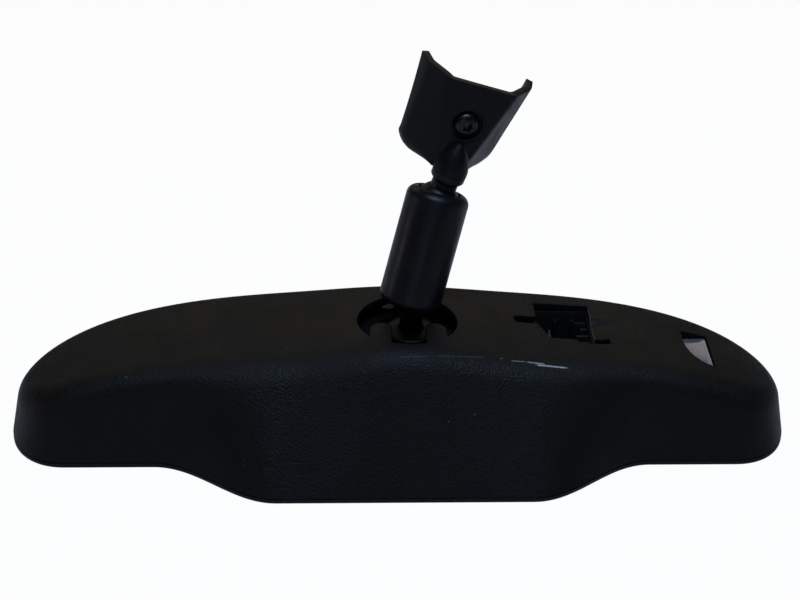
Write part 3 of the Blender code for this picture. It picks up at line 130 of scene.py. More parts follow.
BOSS_BITE = 0.5 * MM          # how far a boss runs into the skin

# Connector
SHROUD_BOTTOM = 17.4 * MM
SHROUD_FLOOR = 19.4 * MM
SHROUD_TOP = 32.8 * MM
SHROUD_OUTER = (19.8 * MM, 23.6 * MM)
SHROUD_INNER = (17.4 * MM, 21.0 * MM)
LATCH_RIBS = ((-6.6 * MM, 3.4 * MM), (-2.4 * MM, 4.6 * MM),
              (1.8 * MM, 2.8 * MM), (6.0 * MM, 4.2 * MM))      # place and reach of each
LATCH_END = 8.9 * MM          # from the socket's middle to where the latch ribs end in the wall
LATCH_WIDTH = 1.3 * MM
LATCH_Z = 24.9 * MM
LATCH_SHORTER = 0.7 * MM      # a latch rib is this much shorter than the shroud's inside
END_RIB_Y = 9.9 * MM          # from the socket's middle to the ribs at its near and far end
GUIDE_X = (4.4 * MM, -1.6 * MM)
GUIDE_Z = 24.7 * MM
GUIDE_SIZE = (1.2 * MM, 2.2 * MM, 10.8 * MM)
STOP_X = 6.8 * MM
STOP_Z = 23.2 * MM
STOP_SIZE = (2.6 * MM, 2.0 * MM, 7.6 * MM)
RIB_EDGE = 0.25 * MM
PIN_COUNT = 6
PIN_PITCH = 2.5 * MM
PIN_X = 51.6 * MM
PIN_WIDTH = 0.9 * MM
PIN_LOW = 14.1 * MM
PIN_TOP = 28.0 * MM
PIN_TAPER = 1.4 * MM

# Stem: its ball centres, tube and studs
LOWER_BALL = (3.0 * MM, 12.0 * MM, 49.5 * MM)
BALL_RADIUS = 7.7 * MM
BALL_SPACING = 31.0 * MM
TUBE_WALL = 1.4 * MM
TUBE_END = 4.7 * MM
TUBE_SHOULDER = 3.2 * MM
MOUTH_RADIUS = 7.2 * MM
STEM_LEAN = (math.radians(14.8), math.radians(16.8))
BRACKET_LEAN = (math.radians(19.0), math.radians(2.4))
BRACKET_TURN = math.radians(6.6)
STUD_FLANGE = 8.5 * MM
STUD_NECK = 3.8 * MM
STUD_SHANK = 3.4 * MM
PLATE = 2.2 * MM
UPPER_WAIST = 4.4 * MM
UPPER_NECK = 5.7 * MM
UPPER_NECK_Z = 10.5 * MM
UPPER_NECK_TOP = 12.4 * MM

# Bracket
SIDE_WALL = 3.0 * MM          # length of the wall that the bracket's flanks bend into
WEB_Y = 0.7 * MM
CREASE = 2.2 * MM             # rounding between flank and web
LIP_START = Vector((-15.4, 13.3, 11.8)) * MM
LIP_END = Vector((-18.4, 8.0, 44.4)) * MM
LIP_ROUND_UP = 3.0 * MM       # the first full section's lip stands higher, for a round corner
WEB_START = Vector((-4.6, 0.7, 16.4)) * MM
WEB_END = Vector((-11.8, 0.7, 43.4)) * MM
# Half sections of the foot: edge, lip, flank and web
BRACKET_FOOT = (
    ((-6.6, 10.8, 10.9), (-6.4, 9.6, 10.9), (-5.6, 3.6, 11.4), (-3.2, 0.7, 12.0)),
    ((-12.6, 14.7, 11.2), (-12.0, 12.6, 11.2), (-8.0, 5.4, 12.8), (-4.0, 0.7, 14.0)),
)
SCREW_Z = 29.0 * MM

# Chin controls
BUTTON_Y = -27.0 * MM
BUTTON_SIZE = (10.6 * MM, 8.4 * MM)
BUTTON_LOW = 0.4 * MM
BUTTON_HEIGHT = 2.6 * MM
BUTTON_CORNER = 1.6 * MM
BUTTON_EDGE = 0.45 * MM
DISH = ((0.3 * MM, 0.05 * MM), (0.35 * MM, 0.06 * MM), (0.3 * MM, 0.03 * MM))   # inset and depth
FLANGE = 0.9 * MM
FLANGE_Z = 1.75 * MM          # middle of a button's flange
FLANGE_SIDE = 1.0 * MM        # how far it stands out round the button
PIP_PITCH = 2.2 * MM
INDICATOR_RADIUS = 1.4 * MM
GLARE_RADIUS = 3.2 * MM
CHANNEL_PLACES = (-28.0 * MM, -13.0 * MM, 2.0 * MM)
DIMMER_PLACE = 19.0 * MM
INDICATOR_PLACE = 30.5 * MM
GLARE_PLACE = 38.0 * MM


# ---------------------------------------------------------------- settings

def length(name, description, default, **options):
    return bpy.props.FloatProperty(name=name, description=description, default=default,
                                   unit="LENGTH", precision=4, **options)


def colour(name, description, default):
    return bpy.props.FloatVectorProperty(name=name, description=description, default=default,
                                         subtype="COLOR", size=3, min=0.0, max=1.0)


class MirrorSizes(bpy.types.PropertyGroup):
    """Sizes of the head, stem and bracket."""

    half_length: length("Half length", "From the middle of the head to its end", 131.6 * MM)
    top_edge: length("Top edge", "Place of the top edge along Y", 39.0 * MM)
    chin_edge: length("Chin edge", "Place of the chin's edge along Y", -39.0 * MM)
    dome_height: length("Back height", "Height of the back face over the plane", 36.3 * MM)
    wall_lean: length("Wall lean", "How far the ridge stands inside the outline", 6.0 * MM)
    ridge_blend: length("Ridge rounding", "Length of wall that the ridge takes", 7.0 * MM)
    tube_radius: length("Stem tube radius", "Outer radius of the stem tube", 10.55 * MM)
    bracket_wall: length("Bracket wall", "Thickness of the bracket's metal", 2.4 * MM)


class MirrorFinishes(bpy.types.PropertyGroup):
    """Colours and scales of the finishes."""

    housing: colour("Housing", "Grained black of the housing", (0.0030, 0.0027, 0.0023))
    satin: colour("Frame", "Satin black of the frame and buttons", (0.0030, 0.0030, 0.0031))
    paint: colour("Paint", "Black paint of the stem and bracket", (0.0022, 0.0022, 0.0026))
    # This colour also paints the highlight along the socket's right edge
    wear_and_highlight: colour("Wear", "Scuffed resin where the grain is rubbed off", (0.30, 0.30, 0.29))
    lens: colour("Lens", "Pale sensor lens", (0.055, 0.055, 0.07))
    glass: colour("Glass", "Tint of the mirror glass", (0.70, 0.76, 0.78))
    steel: colour("Steel", "Zinc plated steel", (0.50, 0.50, 0.53))
    grain: bpy.props.FloatProperty(name="Grain scale", description="Grain cells per metre",
                                   default=1800.0, min=1.0)


class MirrorStage(bpy.types.PropertyGroup):
    """Camera, floor and lights."""

    floor: colour("Floor", "Colour of the floor", (0.78, 0.72, 0.66))
    lens: bpy.props.FloatProperty(name="Lens", description="Focal length in millimetres",
                                  default=83.925, subtype="DISTANCE_CAMERA")
    over: bpy.props.FloatProperty(name="Overhead light", description="Power of the overhead light",
                                  default=17.0, subtype="POWER")
    front: bpy.props.FloatProperty(name="Front light", description="Power of the front light",
                                   default=1.5, subtype="POWER")
    back: bpy.props.FloatProperty(name="Back light", description="Power of the back light",
                                  default=9.2, subtype="POWER")
    side: bpy.props.FloatProperty(name="Side light", description="Power of the light at the left",
                                  default=1.3, subtype="POWER")
    world: bpy.props.FloatProperty(name="Surroundings", description="Strength of the surroundings",
                                   default=0.09, min=0.0)


# ---------------------------------------------------------------- hand tools

def pick_none():
    if bpy.context.object and bpy.context.object.mode != "OBJECT":
        bpy.ops.object.mode_set(mode="OBJECT")
    bpy.ops.object.select_all(action="DESELECT")


def take(piece):
    """Make one piece the only selected and active one."""
    pick_none()
    piece.select_set(True)
    bpy.context.view_layer.objects.active = piece


def edit_all():
    bpy.ops.object.mode_set(mode="EDIT")
    bpy.ops.mesh.select_all(action="SELECT")


def close_mesh(piece):
    """Merge what meets and turn the faces outwards."""
    take(piece)
    edit_all()
    bpy.ops.mesh.remove_doubles(threshold=MERGE)
    bpy.ops.mesh.normals_make_consistent(inside=False)
    bpy.ops.object.mode_set(mode="OBJECT")


def close_ends(piece):
    """Fill the open rings of a piece."""
    take(piece)
    edit_all()
    bpy.ops.mesh.fill_holes(sides=0)
    bpy.ops.mesh.select_all(action="SELECT")
    bpy.ops.mesh.normals_make_consistent(inside=False)
    bpy.ops.object.mode_set(mode="OBJECT")


def settle(piece, matrix=None):
    """Put the piece in its place and keep that place in its mesh."""
    if matrix:
        piece.matrix_world = matrix @ piece.matrix_world
    take(piece)
    bpy.ops.object.transform_apply(location=True, rotation=True, scale=True)


def soften(piece, angle=35):
    take(piece)
    bpy.ops.object.shade_smooth_by_angle(angle=math.radians(angle))


def apply_modifiers(piece):
    take(piece)
    for step in [m.name for m in piece.modifiers]:
        bpy.ops.object.modifier_apply(modifier=step)


def round_edges(piece, width, segments=3, angle=40):
    step = piece.modifiers.new("edges", "BEVEL")
    step.width = width
    step.segments = segments
    step.limit_method = "ANGLE"
    step.angle_limit = math.radians(angle)
    step.harden_normals = False
    apply_modifiers(piece)


def boolean(piece, tools, operation="DIFFERENCE"):
    for tool in tools:
        step = piece.modifiers.new(tool.name, "BOOLEAN")
        step.object = tool
        step.operation = operation
        step.solver = "EXACT"
    apply_modifiers(piece)
    for tool in tools:
        bpy.data.objects.remove(tool, do_unlink=True)


def join(name, pieces):
    take(pieces[0])
    for piece in pieces[1:]:
        piece.select_set(True)
    bpy.ops.object.join()
    pieces[0].name = name
    return pieces[0]


def wear_material(piece, material):
    piece.data.materials.clear()
    piece.data.materials.append(material)


def box(name, centre, size):
    pick_none()
    bpy.ops.mesh.primitive_cube_add(size=1, location=centre, scale=size)
    piece = bpy.context.object
    piece.name = name
    settle(piece)
    return piece


def pick_faces(piece, wanted):
    """Go to edit mode with only the wanted faces selected."""
    take(piece)
    bpy.ops.object.mode_set(mode="EDIT")
    bpy.ops.mesh.select_mode(type="FACE")
    bpy.ops.mesh.select_all(action="DESELECT")
    bpy.ops.object.mode_set(mode="OBJECT")
    for face in piece.data.polygons:
        face.select = wanted(face)
    bpy.ops.object.mode_set(mode="EDIT")


def leave_faces():
    bpy.ops.mesh.select_mode(type="VERT")
    bpy.ops.object.mode_set(mode="OBJECT")


def columns_of(rings):
    return [list(column) for column in zip(*rings)]


def loft(name, columns, closed_across=False, closed_along=False):
    """A grid whose points are set on the columns' points."""
    lines = columns + columns[:1] if closed_along else columns
    lines = [line + line[:1] if closed_across else line for line in lines]
    rows, count = len(lines[0]) - 1, len(lines) - 1
    pick_none()
    bpy.ops.mesh.primitive_grid_add(x_subdivisions=rows, y_subdivisions=count, size=2,
                                    location=(0, 0, 0))
    piece = bpy.context.object
    piece.name = name
    for vertex in piece.data.vertices:
        row = round((vertex.co.x + 1) / 2 * rows)
        column = round((vertex.co.y + 1) / 2 * count)
        vertex.co = lines[column][row]
    close_mesh(piece)
    return piece


def turned(name, profile, steps=72, closed=False):
    """Raise a turned shape ring by ring: a circle is extruded and scaled along a profile."""
    points = [(max(radius, POLE), height) for radius, height in profile]
    if closed:
        points.append(points[0])
    radius, height = points[0]
    pick_none()
    bpy.ops.mesh.primitive_circle_add(vertices=steps, radius=radius, location=(0, 0, height))
    piece = bpy.context.object
    piece.name = name
    settle(piece)
    edit_all()
    for wider, higher in points[1:]:
        bpy.ops.mesh.extrude_region_move(
            TRANSFORM_OT_translate={"value": (0, 0, higher - height)})
        share = wider / radius
        bpy.ops.transform.resize(value=(share, share, 1), center_override=(0, 0, higher))
        radius, height = wider, higher
    close_mesh(piece)
    return piece


def prism(name, loop, bottom, top):
    """Fill an outline and raise it between two heights."""
    pick_none()
    bpy.ops.mesh.primitive_circle_add(vertices=len(loop), radius=1, fill_type="NGON")
    piece = bpy.context.object
    piece.name = name
    for vertex, (x, y) in zip(piece.data.vertices, loop):
        vertex.co = (x, y, bottom)
    edit_all()
    bpy.ops.mesh.extrude_region_move(TRANSFORM_OT_translate={"value": (0, 0, top - bottom)})
    close_mesh(piece)
    return piece


def flared_cutter(name, loop, low, surface):
    """A cutter whose mouth opens in a quarter round at the surface."""
    steps = 4
    rings = [[(x, y, low) for x, y in loop]]
    for step in range(steps + 1):
        angle = math.pi / 2 * step / steps
        out = RIM_ROUND * (1 - math.cos(angle))
        ring = offset_loop(loop, out)
        rise = RIM_ROUND * (math.sin(angle) - 1)
        rings.append([(x, y, surface(x, y) + rise) for x, y in ring])
    ring = offset_loop(loop, RIM_ROUND * 1.02)
    rings.append([(x, y, surface(x, y) + RIM_ROUND) for x, y in ring])
    cutter = loft(name, columns_of(rings), closed_along=True)
    close_ends(cutter)
    return cutter


def offset_loop(loop, distance):
    """Move a counter-clockwise loop outwards along its normals."""
    if distance == 0:
        return list(loop)
    count = len(loop)
    moved = []
    for i, (x, y) in enumerate(loop):
        before, after = Vector(loop[i - 1]), Vector(loop[(i + 1) % count])
        first = (Vector((x, y)) - before).normalized()
        second = (after - Vector((x, y))).normalized()
        normal = Vector((first.y + second.y, -first.x - second.x))
        size = normal.length
        normal = normal / size if size > 0 else Vector((0, 0))
        stretch = min(2.0, 2 / size) if size > 0 else 1.0
        moved.append((x + normal.x * distance * stretch, y + normal.y * distance * stretch))
    return moved


def circle_loop(radius, centre=(0, 0), count=48):
    return [(centre[0] + radius * math.cos(2 * math.pi * i / count),
             centre[1] + radius * math.sin(2 * math.pi * i / count)) for i in range(count)]


def rounded_box(centre, size, corner, steps=6):
    points = []
    for quarter, (sx, sy) in enumerate(((1, 1), (-1, 1), (-1, -1), (1, -1))):
        cx = centre[0] + sx * (size[0] / 2 - corner)
        cy = centre[1] + sy * (size[1] / 2 - corner)
        for step in range(steps + 1):
            angle = math.pi / 2 * (quarter + step / steps)
            points.append((cx + corner * math.cos(angle), cy + corner * math.sin(angle)))
    return points


def arc(centre, radius, start, end, steps):
    """Points of a profile arc, angles in degrees from the radius direction."""
    found = []
    for step in range(steps + 1):
        angle = math.radians(start + (end - start) * step / steps)
        found.append((centre[0] + radius * math.cos(angle),
                      centre[1] + radius * math.sin(angle)))
    return found


def smooth_between(points, share):
    """A point between the second and third of four, on a smooth curve through them."""
    before, start, end, after = points
    first, second = (end - before) / 2, (after - start) / 2
    square, cube = share ** 2, share ** 3
    return (start * (2 * cube - 3 * square + 1) + first * (cube - 2 * square + share)
            + end * (3 * square - 2 * cube) + second * (cube - square))


def lean_frame(origin, lean, turn=0.0):
    z_axis = Vector((math.tan(lean[0]), math.tan(lean[1]), 1)).normalized()
    x_axis = Vector((0, 1, 0)).cross(z_axis).normalized()
    y_axis = z_axis.cross(x_axis)
    basis = Matrix((x_axis, y_axis, z_axis)).transposed().to_4x4()
    return Matrix.Translation(origin) @ basis @ Matrix.Rotation(turn, 4, "Z")


STEM_FRAME = lean_frame(LOWER_BALL, STEM_LEAN)
UPPER_BALL = STEM_FRAME @ Vector((0, 0, BALL_SPACING))
BRACKET_FRAME = lean_frame(UPPER_BALL, BRACKET_LEAN, BRACKET_TURN)


# ---------------------------------------------------------------- head's shape

class HeadShape:
    """Outline and heights of the head, from the sizes in the sidebar."""

    def __init__(self, sizes):
        self.half = sizes.half_length
        self.top = sizes.top_edge
        self.chin = sizes.chin_edge
        self.dome = sizes.dome_height
        self.dome_half = self.half + DOME_REACH
        self.lean = sizes.wall_lean
        self.blend = sizes.ridge_blend

    def top_edge(self, x):
        reach = max(0.0, 1 - (abs(x) / self.half) ** TOP_LONG_POWER)
        return END_Y + (self.top - END_Y) * reach ** (1 / TOP_SHORT_POWER)

    def wing_edge(self, x):
        if abs(x) <= END_ROUND_START:
            return WING_EDGE_Y
        along = (abs(x) - END_ROUND_START) / (self.half - END_ROUND_START)
        reach = max(0.0, 1 - along ** END_ROUND_POWER)
        return END_Y - (END_Y - WING_EDGE_Y) * reach ** (1 / END_ROUND_POWER)

    def chin_drop(self, x):
        along = min(1.0, max(0.0, (abs(x) - CHIN_FLAT_HALF) / CHIN_BLEND_LENGTH))
        return (WING_EDGE_Y - self.chin) * (1 + math.cos(math.pi * along)) / 2

    def chin_edge(self, x):
        return self.wing_edge(x) - self.chin_drop(x)

    def places(self, count):
        """Places along X from the middle to the end, even along the top edge."""
        dense = 1200
        xs = [self.half * math.sin(math.pi / 2 * i / dense) for i in range(dense + 1)]
        run = [0.0]
        for before, after in zip(xs, xs[1:]):
            run.append(run[-1] + math.hypot(after - before,
                                            self.top_edge(after) - self.top_edge(before)))
        found = []
        at = 0
        for step in range(count + 1):
            wanted = run[-1] * (1 - (1 - step / count) ** 1.12)
            while at < dense and run[at] < wanted:
                at += 1
            found.append(xs[at])
        found[-1] = self.half
        return found

    def loop(self, xs, lower):
        both = [-x for x in reversed(xs)] + xs[1:]
        bottom = [(x, lower(x)) for x in both]
        top = [(x, self.top_edge(x)) for x in reversed(both[1:-1])]
        return bottom + top

    def inset(self, loop, distance):
        moved = []
        count = len(loop)
        for i, (x, y) in enumerate(loop):
            along = (Vector(loop[(i + 1) % count]) - Vector(loop[i - 1])).normalized()
            moved.append((x - along.y * distance, y + along.x * distance))
        return moved

    def far_share(self, y):
        """Nought along the near edge of the head, one from its ends to its top edge."""
        share = min(1.0, max(0.0, (y - WING_EDGE_Y) / (END_Y - WING_EDGE_Y)))
        return share * share * (3 - 2 * share)

    def ridge(self, loop):
        """The ridge seen from above, further in where the wall leans more."""
        near, far = self.inset(loop, self.lean), self.inset(loop, FAR_LEAN)
        return [tuple(Vector(low).lerp(Vector(high), self.far_share(y)))
                for low, high, (_, y) in zip(near, far, loop)]

    def back_height(self, x, y):
        dome = self.dome * math.sqrt(max(0.0, 1 - (abs(x) / self.dome_half) ** DOME_POWER))
        front = WING_EDGE_Y + self.lean
        back = self.top - self.lean
        share = min(1.0, max(0.0, (y - front) / (back - front)))
        hump = HUMP_FRONT + (HUMP_BACK - HUMP_FRONT) * share
        crown = BACK_CROWN * 4 * share * (1 - share)
        return dome + hump * math.exp(-(x / HUMP_HALF_WIDTH) ** 2) + crown

    def scooped_height(self, x, y):
        """The back face with the shallow scoop beside the socket."""
        return self.back_height(x, y) - self.scoop(x, y)

    def scoop(self, x, y):
        u = (x - SCOOP_CENTRE[0]) / SCOOP_HALF[0]
        v = (y - SCOOP_CENTRE[1]) / SCOOP_HALF[1]
        near = min(1.0, max(0.0, (1 - abs(v)) * 4.0))
        along = min(1.0, max(0.0, (1 - u) / 2)) if u > -1.2 else 0.0
        near = near * near * (3 - 2 * near)
        along = along * along * (3 - 2 * along)
        return SCOOP_DEPTH * near * along

    def side(self, foot, ridge, wall_rows, blend_rows):
        blend = self.blend + (FAR_BLEND - self.blend) * self.far_share(foot[1])
        corner = Vector((ridge[0], ridge[1], self.back_height(*ridge)))
        base = Vector((foot[0], foot[1], HOUSING_EDGE_Z))
        inward = Vector((ridge[0] - foot[0], ridge[1] - foot[1], 0))
        inward = inward.normalized() if inward.length > 0 else Vector((0, 1, 0))
        wall_start = corner + (base - corner).normalized() * blend
        flat = (ridge[0] + inward.x * blend, ridge[1] + inward.y * blend)
        flat_end = Vector((flat[0], flat[1], self.back_height(*flat)))
        points = [base - Vector((0, 0, 2 * HOUSING_WALL))]
        for row in range(wall_rows + 1):
            points.append(base.lerp(wall_start, row / wall_rows))
        for row in range(1, blend_rows):
            share = row / blend_rows
            points.append(wall_start.lerp(corner, share).lerp(corner.lerp(flat_end, share), share))
        points.append(flat_end)
        return points


# ---------------------------------------------------------------- finishes

class Tree:
    """Short hand for a material's nodes."""

    def __init__(self, name):
        self.material = bpy.data.materials.new(name)
        self.material.use_nodes = True
        self.nodes = self.material.node_tree.nodes
        self.links = self.material.node_tree.links
        self.shader = self.nodes["Principled BSDF"]
        self.place = self.add("ShaderNodeTexCoord").outputs["Object"]

    def add(self, kind, **inputs):
        node = self.nodes.new(kind)
        for key, value in inputs.items():
            self.put(node.inputs[key.replace("_", " ")], value)
        return node

    def put(self, socket, value):
        if isinstance(value, bpy.types.NodeSocket):
            self.links.new(value, socket)
        else:
            socket.default_value = value

    def math(self, operation, first, second=0.0):
        node = self.nodes.new("ShaderNodeMath")
        node.operation = operation
        self.put(node.inputs[0], first)
        self.put(node.inputs[1], second)
        return node.outputs[0]

    def noise(self, scale, detail=4.0, roughness=0.5, vector=None):
        node = self.add("ShaderNodeTexNoise", Scale=scale, Detail=detail, Roughness=roughness,
                        Vector=vector or self.place)
        return node.outputs["Fac"]

    def cells(self, scale, feature="F1"):
        node = self.nodes.new("ShaderNodeTexVoronoi")
        node.feature = feature
        node.inputs["Scale"].default_value = scale
        self.links.new(self.place, node.inputs["Vector"])
        return node

    def stretched(self, scale):
        return self.add("ShaderNodeMapping", Vector=self.place, Scale=scale).outputs[0]

    def spread(self, value, low, high, out_low=0.0, out_high=1.0):
        node = self.nodes.new("ShaderNodeMapRange")
        node.interpolation_type = "SMOOTHSTEP"
        self.put(node.inputs["Value"], value)
        node.inputs["From Min"].default_value = low
        node.inputs["From Max"].default_value = high
        node.inputs["To Min"].default_value = out_low
        node.inputs["To Max"].default_value = out_high
        return node.outputs["Result"]

    def mix(self, factor, first, second):
        node = self.nodes.new("ShaderNodeMix")
        node.data_type = "RGBA"
        self.put(node.inputs[0], factor)
        self.put(node.inputs[6], (*first, 1.0) if isinstance(first, tuple) else first)
        self.put(node.inputs[7], (*second, 1.0) if isinstance(second, tuple) else second)
        return node.outputs[2]

    def bump(self, height, distance, strength=1.0):
        node = self.add("ShaderNodeBump", Strength=strength, Distance=distance, Height=height)
        self.links.new(node.outputs[0], self.shader.inputs["Normal"])

    def set(self, **values):
        for key, value in values.items():
            self.put(self.shader.inputs[key.replace("_", " ")], value)

    def stroke(self, start, end, width):
        """A mask along a line on the back face, with soft ends."""
        way = Vector(end) - Vector(start)
        reach, way = way.length, way.normalized()
        split = self.add("ShaderNodeSeparateXYZ", Vector=self.place)
        x = self.math("SUBTRACT", split.outputs[0], start[0])
        y = self.math("SUBTRACT", split.outputs[1], start[1])
        along = self.math("ADD", self.math("MULTIPLY", x, way.x), self.math("MULTIPLY", y, way.y))
        off = self.math("SUBTRACT", self.math("MULTIPLY", y, way.x),
                        self.math("MULTIPLY", x, way.y))
        across = self.spread(self.math("ABSOLUTE", off), 0, width, 1.0, 0.0)
        begin = self.spread(along, -width, 4 * width)
        stop = self.spread(along, reach - 4 * width, reach + width, 1.0, 0.0)
        return self.math("MULTIPLY", across, self.math("MULTIPLY", begin, stop))


def three(values):
    return tuple(values[:])


# Rubbed places on the ridge, and a painted highlight on the socket's right edge: start, end, width,
# strength
SCUFFS_AND_HIGHLIGHT = (
    ((30.4 * MM, -10.0 * MM), (33.2 * MM, -9.9 * MM), 0.5 * MM, 0.45),
    ((34.2 * MM, -10.5 * MM), (40.5 * MM, -10.3 * MM), 0.4 * MM, 0.40),
    ((39.0 * MM, -10.3 * MM), (47.2 * MM, -10.8 * MM), 0.5 * MM, 0.60),
    ((42.0 * MM, -11.2 * MM), (54.6 * MM, -11.6 * MM), 0.6 * MM, 0.85),
    ((-2.5 * MM, -12.9 * MM), (8.5 * MM, -12.4 * MM), 0.4 * MM, 0.06),
    ((9.5 * MM, -12.1 * MM), (27.0 * MM, -10.2 * MM), 0.4 * MM, 0.07),
    # Painted highlight: a pale strip along the socket's right edge stands in for lamp light on its rim
    ((64.9 * MM, 5.0 * MM), (64.8 * MM, 25.0 * MM), 0.4 * MM, 0.10),
)


def grained_resin(finishes):
    """Fine leather grain on warm black resin, with dust, rubbed places and a painted edge highlight."""
    tree = Tree("grained_resin")
    base = three(finishes.housing)
    tone = tree.spread(tree.noise(38.0, 3.0), 0.3, 0.7)
    darker = tuple(part * 0.82 for part in base)
    body = tree.mix(tone, darker, base)
    cell = tree.cells(finishes.grain, "SMOOTH_F1")
    pores = tree.spread(cell.outputs["Distance"], 0.05, 0.75)
    broken = tree.noise(2400.0, 2.0, 0.7)
    # The mask holds the rubbed places and the painted highlight at the socket's edge
    rubbed = None
    patch = tree.noise(1700.0, 4.0, 0.75)
    for start, end, width, strength in SCUFFS_AND_HIGHLIGHT:
        mask = tree.stroke(start, end, width)
        grit = tree.spread(tree.math("ADD", patch, tree.math("MULTIPLY", mask, 0.42)), 0.66, 0.82)
        mask = tree.math("MULTIPLY", tree.math("MULTIPLY", mask, grit), strength)
        rubbed = mask if rubbed is None else tree.math("MAXIMUM", rubbed, mask)
    dots = tree.cells(230.0)
    dust = tree.spread(dots.outputs["Distance"], 0.025, 0.06, 1.0, 0.0)
    rare = tree.spread(tree.noise(160.0, 1.0), 0.62, 0.66)
    dust = tree.math("MULTIPLY", tree.math("MULTIPLY", dust, rare), 0.35)
    marked = tree.math("MAXIMUM", rubbed, dust)
    tree.set(Base_Color=tree.mix(marked, body, three(finishes.wear_and_highlight)))
    tree.set(Roughness=tree.spread(tree.noise(70.0, 2.0), 0.3, 0.7, 0.44, 0.54))
    tree.set(Specular_IOR_Level=0.075)
    height = tree.math("MULTIPLY_ADD", pores, 0.8)
    tree.put(height.node.inputs[2], tree.math("MULTIPLY", broken, 0.55))
    tree.bump(height, 0.15 * MM, 0.95)
    return tree.material


def satin_resin(finishes, name="satin_resin", roughness=0.42):
    """Smooth moulded resin with a fine spark texture."""
    tree = Tree(name)
    base = three(finishes.satin)
    tone = tree.spread(tree.noise(60.0, 2.0), 0.3, 0.7)
    tree.set(Base_Color=tree.mix(tone, tuple(part * 0.85 for part in base), base))
    tree.set(Roughness=tree.spread(tree.noise(240.0, 3.0), 0.3, 0.7, roughness, roughness + 0.08))
    tree.set(Specular_IOR_Level=0.08)
    tree.bump(tree.noise(3200.0, 2.0), 0.02 * MM, 0.5)
    return tree.material


def black_paint(finishes, name="black_paint", roughness=0.34, specular=0.11):
    """Satin paint on metal, with slight orange peel and handling marks."""
    tree = Tree(name)
    base = three(finishes.paint)
    tone = tree.spread(tree.noise(90.0, 3.0), 0.35, 0.7)
    tree.set(Base_Color=tree.mix(tone, base, tuple(part * 1.25 for part in base)))
    smear = tree.noise(1.0, 4.0, 0.6, tree.stretched((260.0, 260.0, 60.0)))
    tree.set(Roughness=tree.spread(smear, 0.3, 0.75, roughness, roughness + 0.14))
    tree.set(Specular_IOR_Level=specular)
    tree.bump(tree.noise(900.0, 3.0), 0.03 * MM, 0.45)
    return tree.material


def plated_steel(finishes, name="plated_steel", tone=1.0, roughness=0.30):
    tree = Tree(name)
    base = tuple(part * tone for part in finishes.steel)
    cloud = tree.spread(tree.noise(300.0, 3.0), 0.3, 0.7)
    tree.set(Base_Color=tree.mix(cloud, tuple(part * 0.82 for part in base), base), Metallic=1.0)
    brushed = tree.noise(1.0, 3.0, 0.6, tree.stretched((2400.0, 2400.0, 240.0)))
    tree.set(Roughness=tree.spread(brushed, 0.3, 0.7, roughness, roughness + 0.14))
    tree.bump(brushed, 0.01 * MM, 0.4)
    return tree.material


def pale_lens(finishes, name="pale_lens"):
    tree = Tree(name)
    base = three(finishes.lens)
    cloud = tree.spread(tree.noise(420.0, 3.0), 0.35, 0.7)
    tree.set(Base_Color=tree.mix(cloud, tuple(part * 0.8 for part in base), base))
    tree.set(Roughness=tree.spread(tree.noise(900.0, 2.0), 0.3, 0.7, 0.12, 0.24))
    tree.set(Coat_Weight=0.25, Coat_Roughness=0.15)
    return tree.material


def silvered_glass(finishes):
    tree = Tree("silvered_glass")
    tint = three(finishes.glass)
    haze = tree.spread(tree.noise(24.0, 3.0), 0.4, 0.7)
    tree.set(Base_Color=tree.mix(haze, tint, tuple(part * 0.97 for part in tint)), Metallic=1.0)
    tree.set(Roughness=tree.spread(tree.noise(130.0, 4.0), 0.35, 0.75, 0.015, 0.05))
    return tree.material


def plain_finish(name, base, roughness, metallic=0.0, scale=300.0, specular=0.5):
    """A simple finish with fine variation, for pieces inside the head."""
    tree = Tree(name)
    cloud = tree.spread(tree.noise(scale, 3.0), 0.3, 0.7)
    tree.set(Base_Color=tree.mix(cloud, tuple(part * 0.8 for part in base), base))
    tree.set(Roughness=tree.spread(tree.noise(scale * 2, 2.0), 0.3, 0.7, roughness,
                                   roughness + 0.1))
    tree.set(Metallic=metallic, Specular_IOR_Level=specular)
    tree.bump(tree.noise(scale * 4, 2.0), 0.02 * MM, 0.4)
    return tree.material


def finish_named(name, maker, *options, **named):
    """A finish is made once and shared."""
    return bpy.data.materials.get(name) or maker(*options, **named)


def settings():
    scene = bpy.context.scene
    return scene.mirror_sizes, scene.mirror_finishes, scene.mirror_stage


# ---------------------------------------------------------------- loops of the back

def capsule_top(middle, steps=14):
    tip = OPENING_CENTRE[1] - OPENING_RADIUS + LOBE_REACH - LOBE_HALF_WIDTH
    return [(middle + LOBE_HALF_WIDTH * math.cos(math.pi * step / steps),
             tip + LOBE_HALF_WIDTH * math.sin(math.pi * step / steps))
            for step in range(steps + 1)]


def opening_loop():
    """The round opening with two lobes of skin that reach in from the near rim."""
    cx, cy = OPENING_CENTRE
    marks = []
    count = 120
    for i in range(count):
        angle = -math.pi / 2 + 2 * math.pi * i / count
        x, y = cx + OPENING_RADIUS * math.cos(angle), cy + OPENING_RADIUS * math.sin(angle)
        covered = any(abs(x - cx - side * LOBE_SPACING / 2) < LOBE_HALF_WIDTH + 0.3 * MM
                      for side in (-1, 1))
        if y < cy and covered:
            continue
        marks.append((angle, (x, y)))
    for side in (-1, 1):
        middle = cx + side * LOBE_SPACING / 2
        feet = []
        for edge in (middle - LOBE_HALF_WIDTH, middle + LOBE_HALF_WIDTH):
            down = math.sqrt(OPENING_RADIUS ** 2 - (edge - cx) ** 2)
            feet.append((edge, cy - down))
        path = [feet[0]] + capsule_top(middle)[::-1] + [feet[1]]
        at = math.atan2(path[0][1] - cy, path[0][0] - cx)
        marks += [(at + index * 1e-6, point) for index, point in enumerate(path)]
    marks.sort(key=lambda item: (item[0] + math.pi / 2) % (2 * math.pi))
    return [point for _, point in marks]


